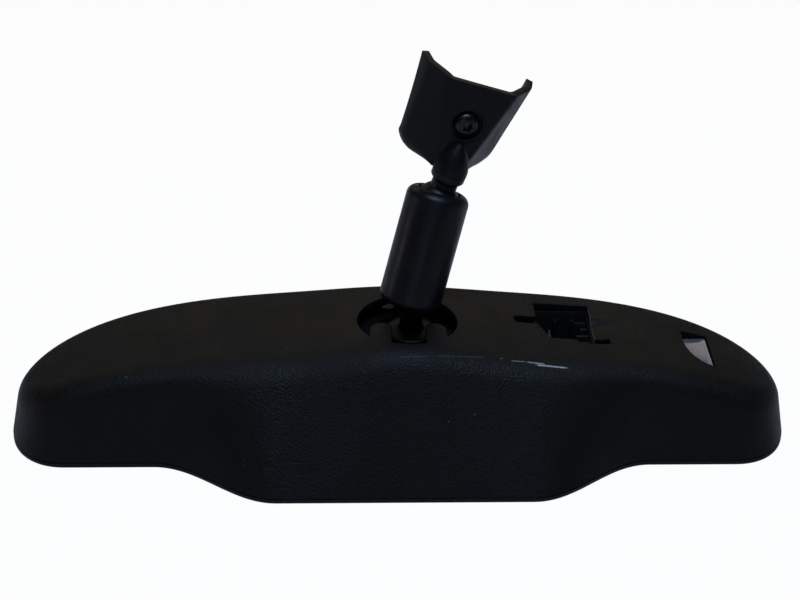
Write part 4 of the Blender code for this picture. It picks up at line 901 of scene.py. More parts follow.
def socket_loop():
    half_x, half_y = SOCKET_SIZE[0] / 2, SOCKET_SIZE[1] / 2
    cx, cy = SOCKET_CENTRE
    cut_x, cut_y = SOCKET_CORNER_CUT
    return [(cx - half_x, cy - half_y + cut_y), (cx - half_x + cut_x, cy - half_y),
            (cx + half_x, cy - half_y), (cx + half_x, cy + half_y), (cx - half_x, cy + half_y)]


def split_sides(loop, longest):
    """Put points along the sides of a loop, so that its mouth follows the surface."""
    found = []
    for start, end in zip(loop, loop[1:] + loop[:1]):
        count = max(1, math.ceil(math.dist(start, end) / longest))
        found += [(start[0] + (end[0] - start[0]) * i / count,
                   start[1] + (end[1] - start[1]) * i / count) for i in range(count)]
    return found


def window_loop(grow=0.0, steps=16):
    left = WINDOW_CENTRE_X - WINDOW_WIDTH / 2 - grow
    right = WINDOW_CENTRE_X + WINDOW_WIDTH / 2 + grow
    tip = WINDOW_TIP_Y - grow
    points = [(right, tip), (right, WINDOW_TOP_Y + grow), (left, WINDOW_TOP_Y + grow),
              (left, WINDOW_SHOULDER_Y)]
    for step in range(1, steps):
        angle = math.pi / 2 * step / steps
        points.append((right - (right - left) * math.cos(angle),
                       WINDOW_SHOULDER_Y - (WINDOW_SHOULDER_Y - tip) * math.sin(angle)))
    return points


# ---------------------------------------------------------------- operators

class Maker(bpy.types.Operator):
    """Shared start of the operators that make a piece."""

    bl_options = {"REGISTER", "UNDO"}

    def finish_piece(self, piece, body, slot, material, nodes, angle=35):
        soften(piece, angle)
        wear_material(piece, material)
        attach(piece, body)
        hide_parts(*nodes)


class REARVIEW_OT_housing(Maker):
    """Loft the grained rear housing and cut its openings"""

    bl_idname = "rearview.housing"
    bl_label = "Rear housing"

    def execute(self, context):
        sizes, finishes, _ = settings()
        shape = HeadShape(sizes)
        housing = self.shell(shape)
        self.cut(housing, shape)
        resin = finish_named("grained_resin", grained_resin, finishes)
        well = self.window_well(shape)
        bosses = self.bosses(shape)
        housing = join("housing_skin", [housing, well, *bosses])
        self.finish_piece(housing, "head", "grained_black", resin, ["rear_housing"], 32)
        return {"FINISHED"}

    def shell(self, shape):
        wall_rows, blend_rows, back_rows = 6, 9, 30
        xs = shape.places(84)
        plain = shape.loop(xs, shape.wing_edge)
        ridge = shape.ridge(plain)
        count, last = len(plain), 2 * (len(xs) - 1)
        columns = []
        for i in range(last + 1):
            low, high = plain[i], plain[(count - i) % count]
            foot = (low[0], low[1] - shape.chin_drop(low[0]))
            front = shape.side(foot, ridge[i], wall_rows, blend_rows)
            if 0 < i < last:
                back = shape.side(high, ridge[count - i], wall_rows, blend_rows)
                start, end = front[-1], back[-1]
                middle = []
                for row in range(1, back_rows):
                    x = start.x + (end.x - start.x) * row / back_rows
                    y = start.y + (end.y - start.y) * row / back_rows
                    middle.append(Vector((x, y, shape.scooped_height(x, y))))
                columns.append(front + middle + back[::-1])
            else:
                columns.append(front + [front[-1]] * (back_rows - 1) + front[::-1])
        housing = loft("housing_skin", columns)
        wall = housing.modifiers.new("wall", "SOLIDIFY")
        wall.thickness = HOUSING_WALL
        wall.offset = -1
        apply_modifiers(housing)
        return housing

    def cut(self, housing, shape):
        cx, cy = SOCKET_CENTRE
        slot_start = cx - SOCKET_SIZE[0] / 2 - LATCH_SLOT[0]
        slot_end = cx - SOCKET_SIZE[0] / 2 + SOCKET_OVERLAP
        slot = rounded_box(((slot_start + slot_end) / 2, cy + SLOT_FAR_SIDE - LATCH_SLOT[1] / 2),
                           (slot_end - slot_start, LATCH_SLOT[1]), SLOT_CORNER)
        notch = rounded_box((cx + SOCKET_SIZE[0] / 2 + SIDE_NOTCH[0] / 2 - SOCKET_OVERLAP / 2,
                             cy - SOCKET_SIZE[1] / 2 + SIDE_NOTCH[1] / 2 + NOTCH_RISE),
                            (SIDE_NOTCH[0] + SOCKET_OVERLAP, SIDE_NOTCH[1]), NOTCH_CORNER)
        low = PLATE_TOP_Z - CUT_DEPTH
        height = shape.scooped_height
        window_low = shape.back_height(WINDOW_CENTRE_X, WINDOW_SHOULDER_Y) - 2 * HOUSING_WALL
        boolean(housing, [prism("rim_cut", rounded_box((0, 0), (0.4, 0.2), 0.01), -0.02,
                                HOUSING_EDGE_Z)])
        for name, loop, bottom in (
            ("stem_cut", opening_loop(), low),
            ("socket_cut", split_sides(socket_loop(), SOCKET_STEP), low),
            ("slot_cut", slot, low),
            ("notch_cut", notch, low),
            ("window_cut", split_sides(window_loop(), WINDOW_STEP), window_low),
        ):
            boolean(housing, [flared_cutter(name, loop, bottom, height)])

    def window_well(self, shape):
        """Wall of the sensor window, from the lens up into the skin."""
        loop = split_sides(window_loop(WELL_CLEAR), WINDOW_STEP)
        outer = offset_loop(loop, WELL_WALL)
        floor = shape.back_height(WINDOW_CENTRE_X, WINDOW_SHOULDER_Y) - WINDOW_DEPTH
        columns = []
        for inner_point, outer_point in zip(loop, outer):
            top = shape.back_height(*inner_point) - WELL_DROP
            columns.append([(*inner_point, floor), (*inner_point, top), (*outer_point, top),
                            (*outer_point, floor)])
        return loft("window_well", columns, closed_across=True, closed_along=True)

    def bosses(self, shape):
        found = []
        low = PLATE_TOP_Z + GAP
        for x in BOSS_X:
            for y in BOSS_Y:
                top = shape.back_height(x, y) - HOUSING_WALL + BOSS_BITE
                post = turned("boss", [(BOSS_BORE, low), (BOSS_BORE, top), (BOSS_RADIUS, top),
                                       (BOSS_RADIUS, low)], 32, closed=True)
                settle(post, Matrix.Translation((x, y, 0)))
                found.append(post)
        return found


class REARVIEW_OT_bezel(Maker):
    """Loft the frame round the glass and cut the chin's openings"""

    bl_idname = "rearview.bezel"
    bl_label = "Glass frame"

    def execute(self, context):
        sizes, finishes, _ = settings()
        shape = HeadShape(sizes)
        xs = shape.places(110)
        head, mirror = shape.loop(xs, shape.chin_edge), shape.loop(xs, shape.wing_edge)
        section = [(head, FRAME_ROUND * (1 - math.sin(math.radians(a))),
                    FRAME_ROUND * (1 - math.cos(math.radians(a)))) for a in range(0, 91, 18)]
        section += [(head, 0, FRAME_TOP - 0.2 * MM), (head, 0.2 * MM, FRAME_TOP),
                    (head, SKIRT_INSET, FRAME_TOP), (head, SKIRT_INSET, SKIRT_TOP),
                    (head, SKIRT_INSET + SKIRT_WALL, SKIRT_TOP),
                    (head, SKIRT_INSET + SKIRT_WALL, FRAME_FLOOR),
                    (mirror, FRAME_LIP, FRAME_FLOOR), (mirror, FRAME_LIP, EDGE_BREAK),
                    (mirror, FRAME_LIP - 0.1 * MM, 0.1 * MM), (mirror, FRAME_LIP - EDGE_BREAK, 0)]
        rings = [[(x, y, z) for x, y in shape.inset(loop, inset)] for loop, inset, z in section]
        bezel = loft("bezel_frame", columns_of(rings), closed_across=True, closed_along=True)
        for loop in self.holes():
            boolean(bezel, [self.rounded_cutter(loop)])
        satin = finish_named("satin_resin", satin_resin, finishes)
        self.finish_piece(bezel, "head", "satin_black", satin, ["bezel"], 30)
        return {"FINISHED"}

    def holes(self):
        """Outlines of the chin's openings, for the light pipes and the buttons."""
        found = [circle_loop(INDICATOR_RADIUS + GAP, (INDICATOR_PLACE, BUTTON_Y)),
                 circle_loop(GLARE_RADIUS + GAP, (GLARE_PLACE, BUTTON_Y))]
        size = (BUTTON_SIZE[0] + 2 * GAP, BUTTON_SIZE[1] + 2 * GAP)
        for x in (*CHANNEL_PLACES, DIMMER_PLACE):
            found.append(rounded_box((x, BUTTON_Y), size, BUTTON_CORNER + GAP, 8))
        return found

    def rounded_cutter(self, loop):
        """A cutter that opens in a quarter round at the frame's face."""
        steps, mouth, below = 3, 0.3 * MM, 0.5 * MM
        rings = [[(x, y, -below) for x, y in offset_loop(loop, mouth)]]
        for step in range(steps + 1):
            angle = math.pi / 2 * step / steps
            ring = offset_loop(loop, mouth * (1 - math.sin(angle)))
            rings.append([(x, y, mouth * (1 - math.cos(angle))) for x, y in ring])
        rings.append([(x, y, 2 * FRAME_FLOOR) for x, y in loop])
        cutter = loft("chin_cut", columns_of(rings), closed_along=True)
        close_ends(cutter)
        return cutter


class REARVIEW_OT_controls(Maker):
    """Shape the chin's buttons and light pipes"""

    bl_idname = "rearview.controls"
    bl_label = "Chin controls"

    def execute(self, context):
        _, finishes, _ = settings()
        satin = finish_named("button_resin", satin_resin, finishes, "button_resin", 0.5)
        for index, x in enumerate((*CHANNEL_PLACES, DIMMER_PLACE)):
            pips = index + 1 if index < 3 else 0
            node = f"channel_button_{index + 1}" if pips else "dimmer_button"
            key = self.key(f"{node}_cap", pips)
            if not pips:
                key = join(f"{node}_cap", [key, self.crescent()])
            settle(key, Matrix.Translation((x, BUTTON_Y, 0)))
            self.finish_piece(key, node, "satin_black", satin, [node])
        lens = finish_named("pale_lens", pale_lens, finishes)
        for node, x, radius in (("indicator_lens", INDICATOR_PLACE, INDICATOR_RADIUS),
                                ("glare_sensor_lens", GLARE_PLACE, GLARE_RADIUS)):
            pipe = turned(f"{node}_face", self.pipe_profile(radius), 40)
            settle(pipe, Matrix.Translation((x, BUTTON_Y, 0)))
            self.finish_piece(pipe, "head", "lens", lens, [node])
        return {"FINISHED"}

    def pipe_profile(self, radius):
        """A light pipe: domed face, flange behind the frame and a shank towards the board."""
        face, dome, shoulder, flange, top = 0.4 * MM, 0.25 * MM, 0.9 * MM, 1.3 * MM, 3.8 * MM
        dome_share = 0.93           # the dome is this share of the pipe's width
        wide, shank = radius + 1.0 * MM, radius - 0.3 * MM
        profile = [(0, face)]
        profile += [(radius * math.sin(math.radians(a)) * dome_share,
                     face + dome * (1 - math.cos(math.radians(a)))) for a in range(15, 91, 15)]
        profile += [(radius, shoulder), (radius, flange), (wide, flange), (wide, flange + FLANGE),
                    (shank, flange + FLANGE), (shank, top), (0, top)]
        return profile

    def key(self, name, pips):
        """A cap with soft edges, a shallow dish, a flange and its plunger."""
        cap = box("cap", (0, 0, BUTTON_LOW + BUTTON_HEIGHT / 2), (*BUTTON_SIZE, BUTTON_HEIGHT))
        self.round_corners(cap)
        round_edges(cap, BUTTON_EDGE, 4, 60)
        least = 20 * MM * MM        # only the cap's front face is larger
        pick_faces(cap, lambda face: face.normal.z < -0.99 and face.area > least)
        for inset, drop in DISH:
            bpy.ops.mesh.inset(thickness=inset)
            bpy.ops.transform.translate(value=(0, 0, drop))
        leave_faces()
        flange = box("flange", (0, 0, FLANGE_Z),
                     (BUTTON_SIZE[0] + 2 * FLANGE_SIDE, BUTTON_SIZE[1] + 2 * FLANGE_SIDE, FLANGE))
        round_edges(flange, 0.2 * MM, 2)
        plunger = turned("plunger", [(0, 2.0 * MM), (1.5 * MM, 2.0 * MM), (1.5 * MM, 2.9 * MM),
                                     (1.3 * MM, 3.0 * MM), (0, 3.0 * MM)], 32)
        pieces = [cap, flange, plunger]
        for index in range(pips):
            pip = turned("pip", [(0, 0.16 * MM), (0.3 * MM, 0.17 * MM), (0.55 * MM, 0.25 * MM),
                                 (0.68 * MM, 0.42 * MM), (0.7 * MM, 0.8 * MM), (0, 0.8 * MM)], 28)
            settle(pip, Matrix.Translation(((index - (pips - 1) / 2) * PIP_PITCH, 0, 0)))
            pieces.append(pip)
        return join(name, pieces)

    def round_corners(self, cap):
        """Bevel only the edges that stand upright."""
        edge = cap.modifiers.new("corners", "BEVEL")
        edge.width = BUTTON_CORNER
        edge.segments = 6
        edge.affect = "EDGES"
        edge.limit_method = "WEIGHT"
        weights = cap.data.attributes.new("bevel_weight_edge", "FLOAT", "EDGE")
        for item in cap.data.edges:
            a, b = (cap.data.vertices[v].co for v in item.vertices)
            weights.data[item.index].value = 1.0 if abs(a.z - b.z) > MM else 0.0
        apply_modifiers(cap)

    def crescent(self):
        """A raised half moon on the dimming button."""
        outer, inner, shift, steps = 2.0 * MM, 1.7 * MM, 0.9 * MM, 20
        start = math.acos((outer ** 2 + shift ** 2 - inner ** 2) / (2 * outer * shift))
        span = 2 * math.pi - 2 * start
        loop = [(outer * math.cos(start + span * i / steps),
                 outer * math.sin(start + span * i / steps)) for i in range(steps + 1)]
        turn = math.atan2(loop[-1][1], loop[-1][0] - shift)
        back = math.atan2(loop[0][1], loop[0][0] - shift)
        sweep = 2 * math.pi - (back - turn) % (2 * math.pi)
        loop += [(shift + inner * math.cos(turn - sweep * i / steps),
                  inner * math.sin(turn - sweep * i / steps)) for i in range(1, steps)]
        return prism("moon", loop, 0.2 * MM, 0.7 * MM)


class REARVIEW_OT_socket(Maker):
    """Shape the connector shroud with its ribs and contacts"""

    bl_idname = "rearview.socket"
    bl_label = "Connector socket"

    def execute(self, context):
        _, finishes, _ = settings()
        cx, cy = SOCKET_CENTRE
        pieces = [self.wall()]
        height = SHROUD_TOP - SHROUD_FLOOR - LATCH_SHORTER
        ribs = [((cx + LATCH_END - reach / 2, cy + dy, LATCH_Z), (reach, LATCH_WIDTH, height))
                for dy, reach in LATCH_RIBS]
        ribs += [((cx + dx, cy + END_RIB_Y, GUIDE_Z), GUIDE_SIZE) for dx in GUIDE_X]
        ribs.append(((cx + STOP_X, cy - END_RIB_Y, STOP_Z), STOP_SIZE))
        for centre, size in ribs:
            rib = box("rib", centre, size)
            round_edges(rib, RIB_EDGE, 2)
            pieces.append(rib)
        shroud = join("socket_shroud", pieces)
        satin = finish_named("shroud_resin", satin_resin, finishes, "shroud_resin", 0.55)
        self.finish_piece(shroud, "head", "satin_black", satin, ["connector_shroud"])
        tin = finish_named("tinned_contact", plain_finish, "tinned_contact",
                           (0.72, 0.68, 0.60), 0.28, 1.0, 900.0)
        start = cy - PIN_PITCH * (PIN_COUNT - 1) / 2
        for index in range(PIN_COUNT):
            pin = self.pin(f"contact_blade_{index + 1}", (PIN_X, start + PIN_PITCH * index))
            self.finish_piece(pin, "head", "copper", tin, [f"contact_pin_{index + 1}"])
        return {"FINISHED"}

    def wall(self):
        """The shroud's wall with its broken edges, closed by a floor."""
        broken, worn = 0.2 * MM, 0.5 * MM
        sections = ((SHROUD_OUTER, 0, 0.8 * MM, SHROUD_BOTTOM),
                    (SHROUD_OUTER, 0, 0.8 * MM, SHROUD_TOP - broken),
                    (SHROUD_OUTER, -2 * broken, 0.8 * MM, SHROUD_TOP),
                    (SHROUD_INNER, worn, 0.6 * MM, SHROUD_TOP),
                    (SHROUD_INNER, 0, 0.5 * MM, SHROUD_TOP - worn),
                    (SHROUD_INNER, 0, 0.5 * MM, SHROUD_FLOOR))
        rings = [[(x, y, z) for x, y in rounded_box(SOCKET_CENTRE, (size[0] + grow, size[1] + grow),
                                                    corner, 5)]
                 for size, grow, corner, z in sections]
        wall = loft("shroud", columns_of(rings), closed_along=True)
        close_ends(wall)
        return wall

    def pin(self, name, place):
        """A square contact with a tapered tip."""
        straight = PIN_TOP - PIN_TAPER
        pin = box(name, (*place, (PIN_LOW + straight) / 2), (PIN_WIDTH, PIN_WIDTH, straight - PIN_LOW))
        pick_faces(pin, lambda face: face.normal.z > 0.9)
        bpy.ops.mesh.extrude_region_move(TRANSFORM_OT_translate={"value": (0, 0, PIN_TAPER)})
        bpy.ops.transform.resize(value=(0.42, 0.42, 1), center_override=(*place, PIN_TOP))
        leave_faces()
        round_edges(pin, 0.08 * MM, 2, 20)
        return pin


class REARVIEW_OT_sensor(Maker):
    """Shape the pale lens at the bottom of the sensor window"""

    bl_idname = "rearview.sensor"
    bl_label = "Sensor lens"

    def execute(self, context):
        sizes, finishes, _ = settings()
        shape = HeadShape(sizes)
        floor = shape.back_height(WINDOW_CENTRE_X, WINDOW_SHOULDER_Y) - WINDOW_DEPTH
        face_low, face_drop, foot_top = 1.4 * MM, 0.15 * MM, 1.7 * MM
        face = prism("lens_face", split_sides(window_loop(-GAP), WINDOW_STEP), floor + face_low,
                     floor + LENS_HEIGHT - face_drop)
        round_edges(face, 0.35 * MM, 3, 50)
        foot = prism("lens_foot", window_loop(-LENS_FOOT_INSET), floor + GAP, floor + foot_top)
        lens = join("sensor_lens_face", [face, foot])
        glow = finish_named("pale_lens", pale_lens, finishes)
        self.finish_piece(lens, "head", "lens", glow, ["light_sensor_lens"])
        return {"FINISHED"}


class REARVIEW_OT_stem(Maker):
    """Turn the ball studs and the stem tube"""

    bl_idname = "rearview.stem"
    bl_label = "Stem"

    def execute(self, context):
        sizes, finishes, _ = settings()
        paint = finish_named("black_paint", black_paint, finishes)
        tube = self.tube(sizes)
        settle(tube, STEM_FRAME)
        self.finish_piece(tube, "stem", "painted_black", paint, ["stem_tube"], 30)
        # Near-black steel for the lower stud: partly its dark finish, partly painted shade, so it stays
        # dark inside the opening
        dark = finish_named("dark_steel", plated_steel, finishes, "dark_steel", 0.012, 0.45)
        stud = turned("lower_stud_turned", self.lower_profile(), 72)
        settle(stud, Matrix.Translation(LOWER_BALL))
        self.finish_piece(stud, "lower_stud", "steel", dark, ["lower_ball_stud"], 30)
        neck = turned("upper_stud_turned", self.upper_profile(), 72)
        settle(neck, BRACKET_FRAME)
        self.finish_piece(neck, "upper_stud", "painted_black", paint, ["upper_ball_stud"], 30)
        return {"FINISHED"}

    def tube(self, sizes):
        outer = sizes.tube_radius
        bore = outer - TUBE_WALL
        centre = (outer - TUBE_SHOULDER, TUBE_END - TUBE_SHOULDER)
        half = arc(centre, TUBE_SHOULDER, 0, 84, 12)
        half += [(MOUTH_RADIUS + 0.5 * MM, TUBE_END), (MOUTH_RADIUS + 0.15 * MM, TUBE_END - 0.12 * MM),
                 (MOUTH_RADIUS, TUBE_END - 0.45 * MM), (MOUTH_RADIUS + 0.9 * MM, TUBE_END - 1.3 * MM),
                 (bore - 0.7 * MM, TUBE_END - TUBE_WALL - 0.7 * MM), (bore, 2.2 * MM)]
        upper = [(radius, height + BALL_SPACING) for radius, height in half]
        lower = [(radius, -height) for radius, height in half][::-1]
        return turned("stem_tube_turned", upper + lower, 96, closed=True)

    def ball(self, neck):
        join_angle = math.degrees(math.acos(neck / BALL_RADIUS))
        points = arc((0, 0), BALL_RADIUS, 90, -join_angle, 30)
        points[0] = (0, BALL_RADIUS)
        return points

    def lower_profile(self):
        base = PLATE_TOP_Z + GAP - LOWER_BALL[2]
        under = PLATE_TOP_Z - PLATE - GAP - LOWER_BALL[2]
        cove = 1.6 * MM
        points = self.ball(STUD_NECK)
        points += [(STUD_NECK, base + 4.6 * MM)]
        points += [(STUD_NECK + cove * (1 - math.cos(math.radians(a))),
                    base + 4.4 * MM - cove * math.sin(math.radians(a))) for a in (20, 40, 60, 75)]
        points += [(STUD_FLANGE - 1.4 * MM, base + 2.75 * MM), (STUD_FLANGE - 0.5 * MM, base + 2.6 * MM),
                   (STUD_FLANGE, base + 2.2 * MM), (STUD_FLANGE, base + 0.3 * MM),
                   (STUD_FLANGE - 0.3 * MM, base), (STUD_SHANK, base), (STUD_SHANK, under - 4.3 * MM),
                   (STUD_SHANK - 0.4 * MM, under - 4.6 * MM), (0, under - 4.6 * MM)]
        return points

    def upper_profile(self):
        pin, pin_top, step_count = 2.8 * MM, 16.4 * MM, 6
        points = [(0, pin_top), (pin, pin_top), (pin, UPPER_NECK_TOP),
                  (UPPER_NECK - 0.1 * MM, UPPER_NECK_TOP), (UPPER_NECK, UPPER_NECK_TOP - 0.1 * MM),
                  (UPPER_NECK, UPPER_NECK_Z)]
        for step in range(1, step_count + 1):
            share = step / step_count
            wider = (UPPER_NECK - UPPER_WAIST) * (1 + math.cos(math.pi * share)) / 2
            points.append((UPPER_WAIST + wider, UPPER_NECK_Z - 1.8 * MM * share))
        points.append((UPPER_WAIST, 7.2 * MM))
        points += [(radius, -height) for radius, height in self.ball(UPPER_WAIST)[::-1]]
        return points


class REARVIEW_OT_bracket(Maker):
    """Loft the windshield bracket and turn its star drive screw"""

    bl_idname = "rearview.bracket"
    bl_label = "Windshield bracket"

    def execute(self, context):
        sizes, finishes, _ = settings()
        paint = finish_named("bracket_paint", black_paint, finishes, "bracket_paint", 0.34, 0.08)
        channel = self.channel(sizes)
        settle(channel, BRACKET_FRAME)
        self.finish_piece(channel, "bracket", "painted_black", paint, ["mount_bracket"], 32)
        dark = finish_named("screw_steel", plated_steel, finishes, "screw_steel", 0.045, 0.26)
        screw = self.screw()
        settle(screw, BRACKET_FRAME)
        self.finish_piece(screw, "bracket", "steel", dark, ["mount_screw"], 35)
        return {"FINISHED"}

    def rows(self):
        """Half sections from the foot to the far end: edge, lip, flank and web."""
        rows = [[Vector(point) * MM for point in row] for row in BRACKET_FOOT]
        steps = 5
        for step in range(steps + 1):
            share = step / steps
            lip, web = LIP_START.lerp(LIP_END, share), WEB_START.lerp(WEB_END, share)
            if step == 0:
                lip.z += LIP_ROUND_UP
            wall = SIDE_WALL * (0.95 + 0.85 * share ** 2)
            edge = lip + Vector((-wall * 0.25, wall * 0.97, 0.8 * MM * share ** 2))
            rows.append([edge, lip, lip.lerp(web, 0.5), web])
        return rows

    def fine_rows(self):
        """The same sections with a rounded crease, more points and more rows."""
        rows = self.rows()
        fine = []
        per_row = 5
        for i in range(len(rows) - 1):
            around = [rows[max(0, min(len(rows) - 1, i + k))] for k in (-1, 0, 1, 2)]
            for step in range(per_row):
                fine.append([smooth_between(points, step / per_row) for points in zip(*around)])
        fine.append(rows[-1])
        found = []
        for edge, lip, middle, web in fine:
            flank = middle - web
            start = web + flank.normalized() * min(CREASE, flank.length * 0.6)
            inner = Vector((min(web.x + CREASE, 0), web.y, web.z))
            bend = [edge, edge.lerp(lip, 0.45)]
            before, after = edge.lerp(lip, 0.65), lip.lerp(middle, 0.2)
            for step in range(5):
                share = step / 4
                bend.append(before.lerp(lip, share).lerp(lip.lerp(after, share), share))
            line = bend + [after.lerp(middle, step / 4) for step in range(1, 4)]
            line += [middle.lerp(start, step / 3) for step in range(3)]
            for step in range(7):
                share = step / 6
                line.append(start.lerp(web, share).lerp(web.lerp(inner, share), share))
            line.append(Vector((inner.x / 2, web.y, web.z)))
            other = [Vector((-p.x, p.y, p.z)) for p in reversed(line)]
            found.append(line + [Vector((0, web.y, web.z))] + other)
        return found

    def channel(self, sizes):
        skin = loft("windshield_bracket", self.fine_rows())
        take(skin)
        edit_all()
        bpy.ops.mesh.normals_make_consistent(inside=False)
        bpy.ops.object.mode_set(mode="OBJECT")
        middle = min(skin.data.polygons,
                     key=lambda face: (face.center - Vector((0, WEB_Y, 30 * MM))).length)
        if middle.normal.y > 0:
            take(skin)
            edit_all()
            bpy.ops.mesh.flip_normals()
            bpy.ops.object.mode_set(mode="OBJECT")
        wall = skin.modifiers.new("wall", "SOLIDIFY")
        wall.thickness = sizes.bracket_wall
        wall.offset = -1
        wall.use_even_offset = True
        apply_modifiers(skin)
        round_edges(skin, 0.95 * MM, 4, 50)
        boolean(skin, [self.collar(), self.pad()], "UNION")
        boolean(skin, [self.screw_bore(), self.pin_bore()])
        return skin

    def facing_screw(self, y):
        """A place on the screw's axis, with Z pointing through the web."""
        return Matrix.Translation((0, y, SCREW_Z)) @ Matrix.Rotation(-math.pi / 2, 4, "X")

    def collar(self):
        """The round neck that fades into the web."""
        return turned("collar", [(0, 25.0 * MM), (1.4 * MM, 23.0 * MM), (2.9 * MM, 20.8 * MM),
                                 (4.2 * MM, 18.6 * MM), (5.2 * MM, 16.4 * MM), (5.7 * MM, 14.4 * MM),
                                 (5.8 * MM, 12.6 * MM), (5.7 * MM, 12.5 * MM), (0, 12.5 * MM)], 64)

    def pad(self):
        """A round pad behind the web, for the screw's thread."""
        pad = turned("pad", [(0, 0), (7.0 * MM, 0), (7.0 * MM, 3.0 * MM), (6.8 * MM, 3.2 * MM),
                             (0, 3.2 * MM)], 64)
        settle(pad, self.facing_screw(1.2 * MM))
        return pad

    def screw_bore(self):
        """Counterbore with a broken rim, and the thread's bore."""
        bore = turned("bore", [(0, -6 * MM), (6.1 * MM, -6 * MM), (6.1 * MM, 0.35 * MM),
                               (5.8 * MM, 0.5 * MM), (5.4 * MM, 0.5 * MM), (5.1 * MM, 0.7 * MM),
                               (5.1 * MM, 1.8 * MM), (2.3 * MM, 1.8 * MM), (2.3 * MM, 14 * MM),
                               (0, 14 * MM)], 64)
        settle(bore, self.facing_screw(WEB_Y))
        return bore

    def pin_bore(self):
        """Room for the upper stud's neck and pin."""
        return turned("pin_bore", [(0, 6.2 * MM), (4.9 * MM, 6.2 * MM), (4.9 * MM, 12.5 * MM),
                                   (3.1 * MM, 12.5 * MM), (3.1 * MM, 16.7 * MM), (0, 16.7 * MM)], 48)

    def screw(self):
        """A domed head with a star recess, standing in the counterbore."""
        head = [(0, -2.4 * MM), (1.2 * MM, -2.36 * MM), (2.3 * MM, -2.2 * MM), (3.3 * MM, -1.8 * MM),
                (4.0 * MM, -1.2 * MM), (4.3 * MM, -0.6 * MM), (4.3 * MM, -0.45 * MM),
                (4.15 * MM, -0.3 * MM), (2.0 * MM, -0.3 * MM), (2.0 * MM, 2.8 * MM),
                (1.7 * MM, 3.1 * MM), (0, 3.1 * MM)]
        screw = turned("star_screw", head, 72)
        star, middle, wave = [], 1.62 * MM, 0.32 * MM
        for i in range(72):
            angle = 2 * math.pi * i / 72
            reach = middle + wave * math.cos(6 * angle)
            star.append((reach * math.cos(angle), reach * math.sin(angle)))
        recess = prism("recess", star, -4 * MM, -0.9 * MM)
        boolean(screw, [recess])
        settle(screw, self.facing_screw(2.5 * MM))
        return screw


# Finishes of the carried-over pieces, by the record's slot
INNER_LOOKS = {
    "glass": ("inner_glass", (0.36, 0.42, 0.42), 0.06, 0.0, 60.0),
    "copper": ("tinned_strip", (0.70, 0.60, 0.48), 0.32, 1.0, 500.0),
    "foam": ("black_foam", (0.035, 0.035, 0.038), 0.92, 0.0, 1500.0),
    "board_green": ("board_green", (0.02, 0.10, 0.05), 0.42, 0.0, 240.0),
    "nylon": ("natural_nylon", (0.68, 0.66, 0.58), 0.44, 0.0, 200.0),
    "chip": ("moulded_chip", (0.018, 0.018, 0.019), 0.48, 0.0, 1200.0),
    "seal": ("edge_seal", (0.06, 0.06, 0.06), 0.60, 0.0, 600.0),
}


class REARVIEW_OT_inner(bpy.types.Operator):
    """Give the carried-over pieces their finishes"""

    bl_idname = "rearview.inner"
    bl_label = "Inner pieces"

    def execute(self, context):
        _, finishes, _ = settings()
        slots = {row["node"]: row["material_slot"] for row in frame["record"]["subparts"]}
        # The mounting plate is near-black and barely glossy: partly its black coat, partly painted shade
        # of the opening it is seen through
        dark_plate = finish_named("coated_plate", plain_finish, "coated_plate",
                                  (0.002, 0.002, 0.002), 0.75, 0.0, 500.0, 0.05)
        for name, node in frame["nodes"].items():
            if node.hide_render:
                continue
            slot = slots[name]
            if name == "mounting_plate":
                look = dark_plate
            elif slot in INNER_LOOKS:
                look = finish_named(INNER_LOOKS[slot][0], plain_finish, *INNER_LOOKS[slot])
            elif slot == "mirror":
                look = finish_named("silvered_glass", silvered_glass, finishes)
            elif slot == "steel":
                look = finish_named("plated_steel", plated_steel, finishes)
            else:
                look = finish_named("satin_resin", satin_resin, finishes)
            wear_material(node, look)
        return {"FINISHED"}


# Photograph's camera: turn, tilt and roll in degrees, distance, and the point it looks at
CAMERA_TURN = math.radians(3.19)
CAMERA_TILT = math.radians(31.5)
CAMERA_ROLL = math.radians(1.62)
CAMERA_DISTANCE = 0.6
CAMERA_TARGET = (-2.09 * MM, -9.0 * MM, 59.14 * MM)


# Lamps: name, setting that holds the power, place, size and tint
LAMPS = (
    ("overhead", "over", (0.05, -0.26, 1.15), (0.55, 0.52), (0.52, 0.70, 1.0)),
    ("front", "front", (-0.26, -1.45, 0.27), (0.20, 0.34), (0.45, 0.66, 1.0)),
    ("back", "back", (-0.10, 1.75, 1.15), (2.6, 0.9), (1.0, 0.88, 0.72)),
    ("side", "side", (-1.40, 0.05, 0.13), (0.22, 0.25), (1.0, 0.92, 0.92)),
)
LAMP_TARGET = Vector((0, 0, 0.04))
FLOOR_GLOW = 0.94             # how much of the floor a camera sees as plain white


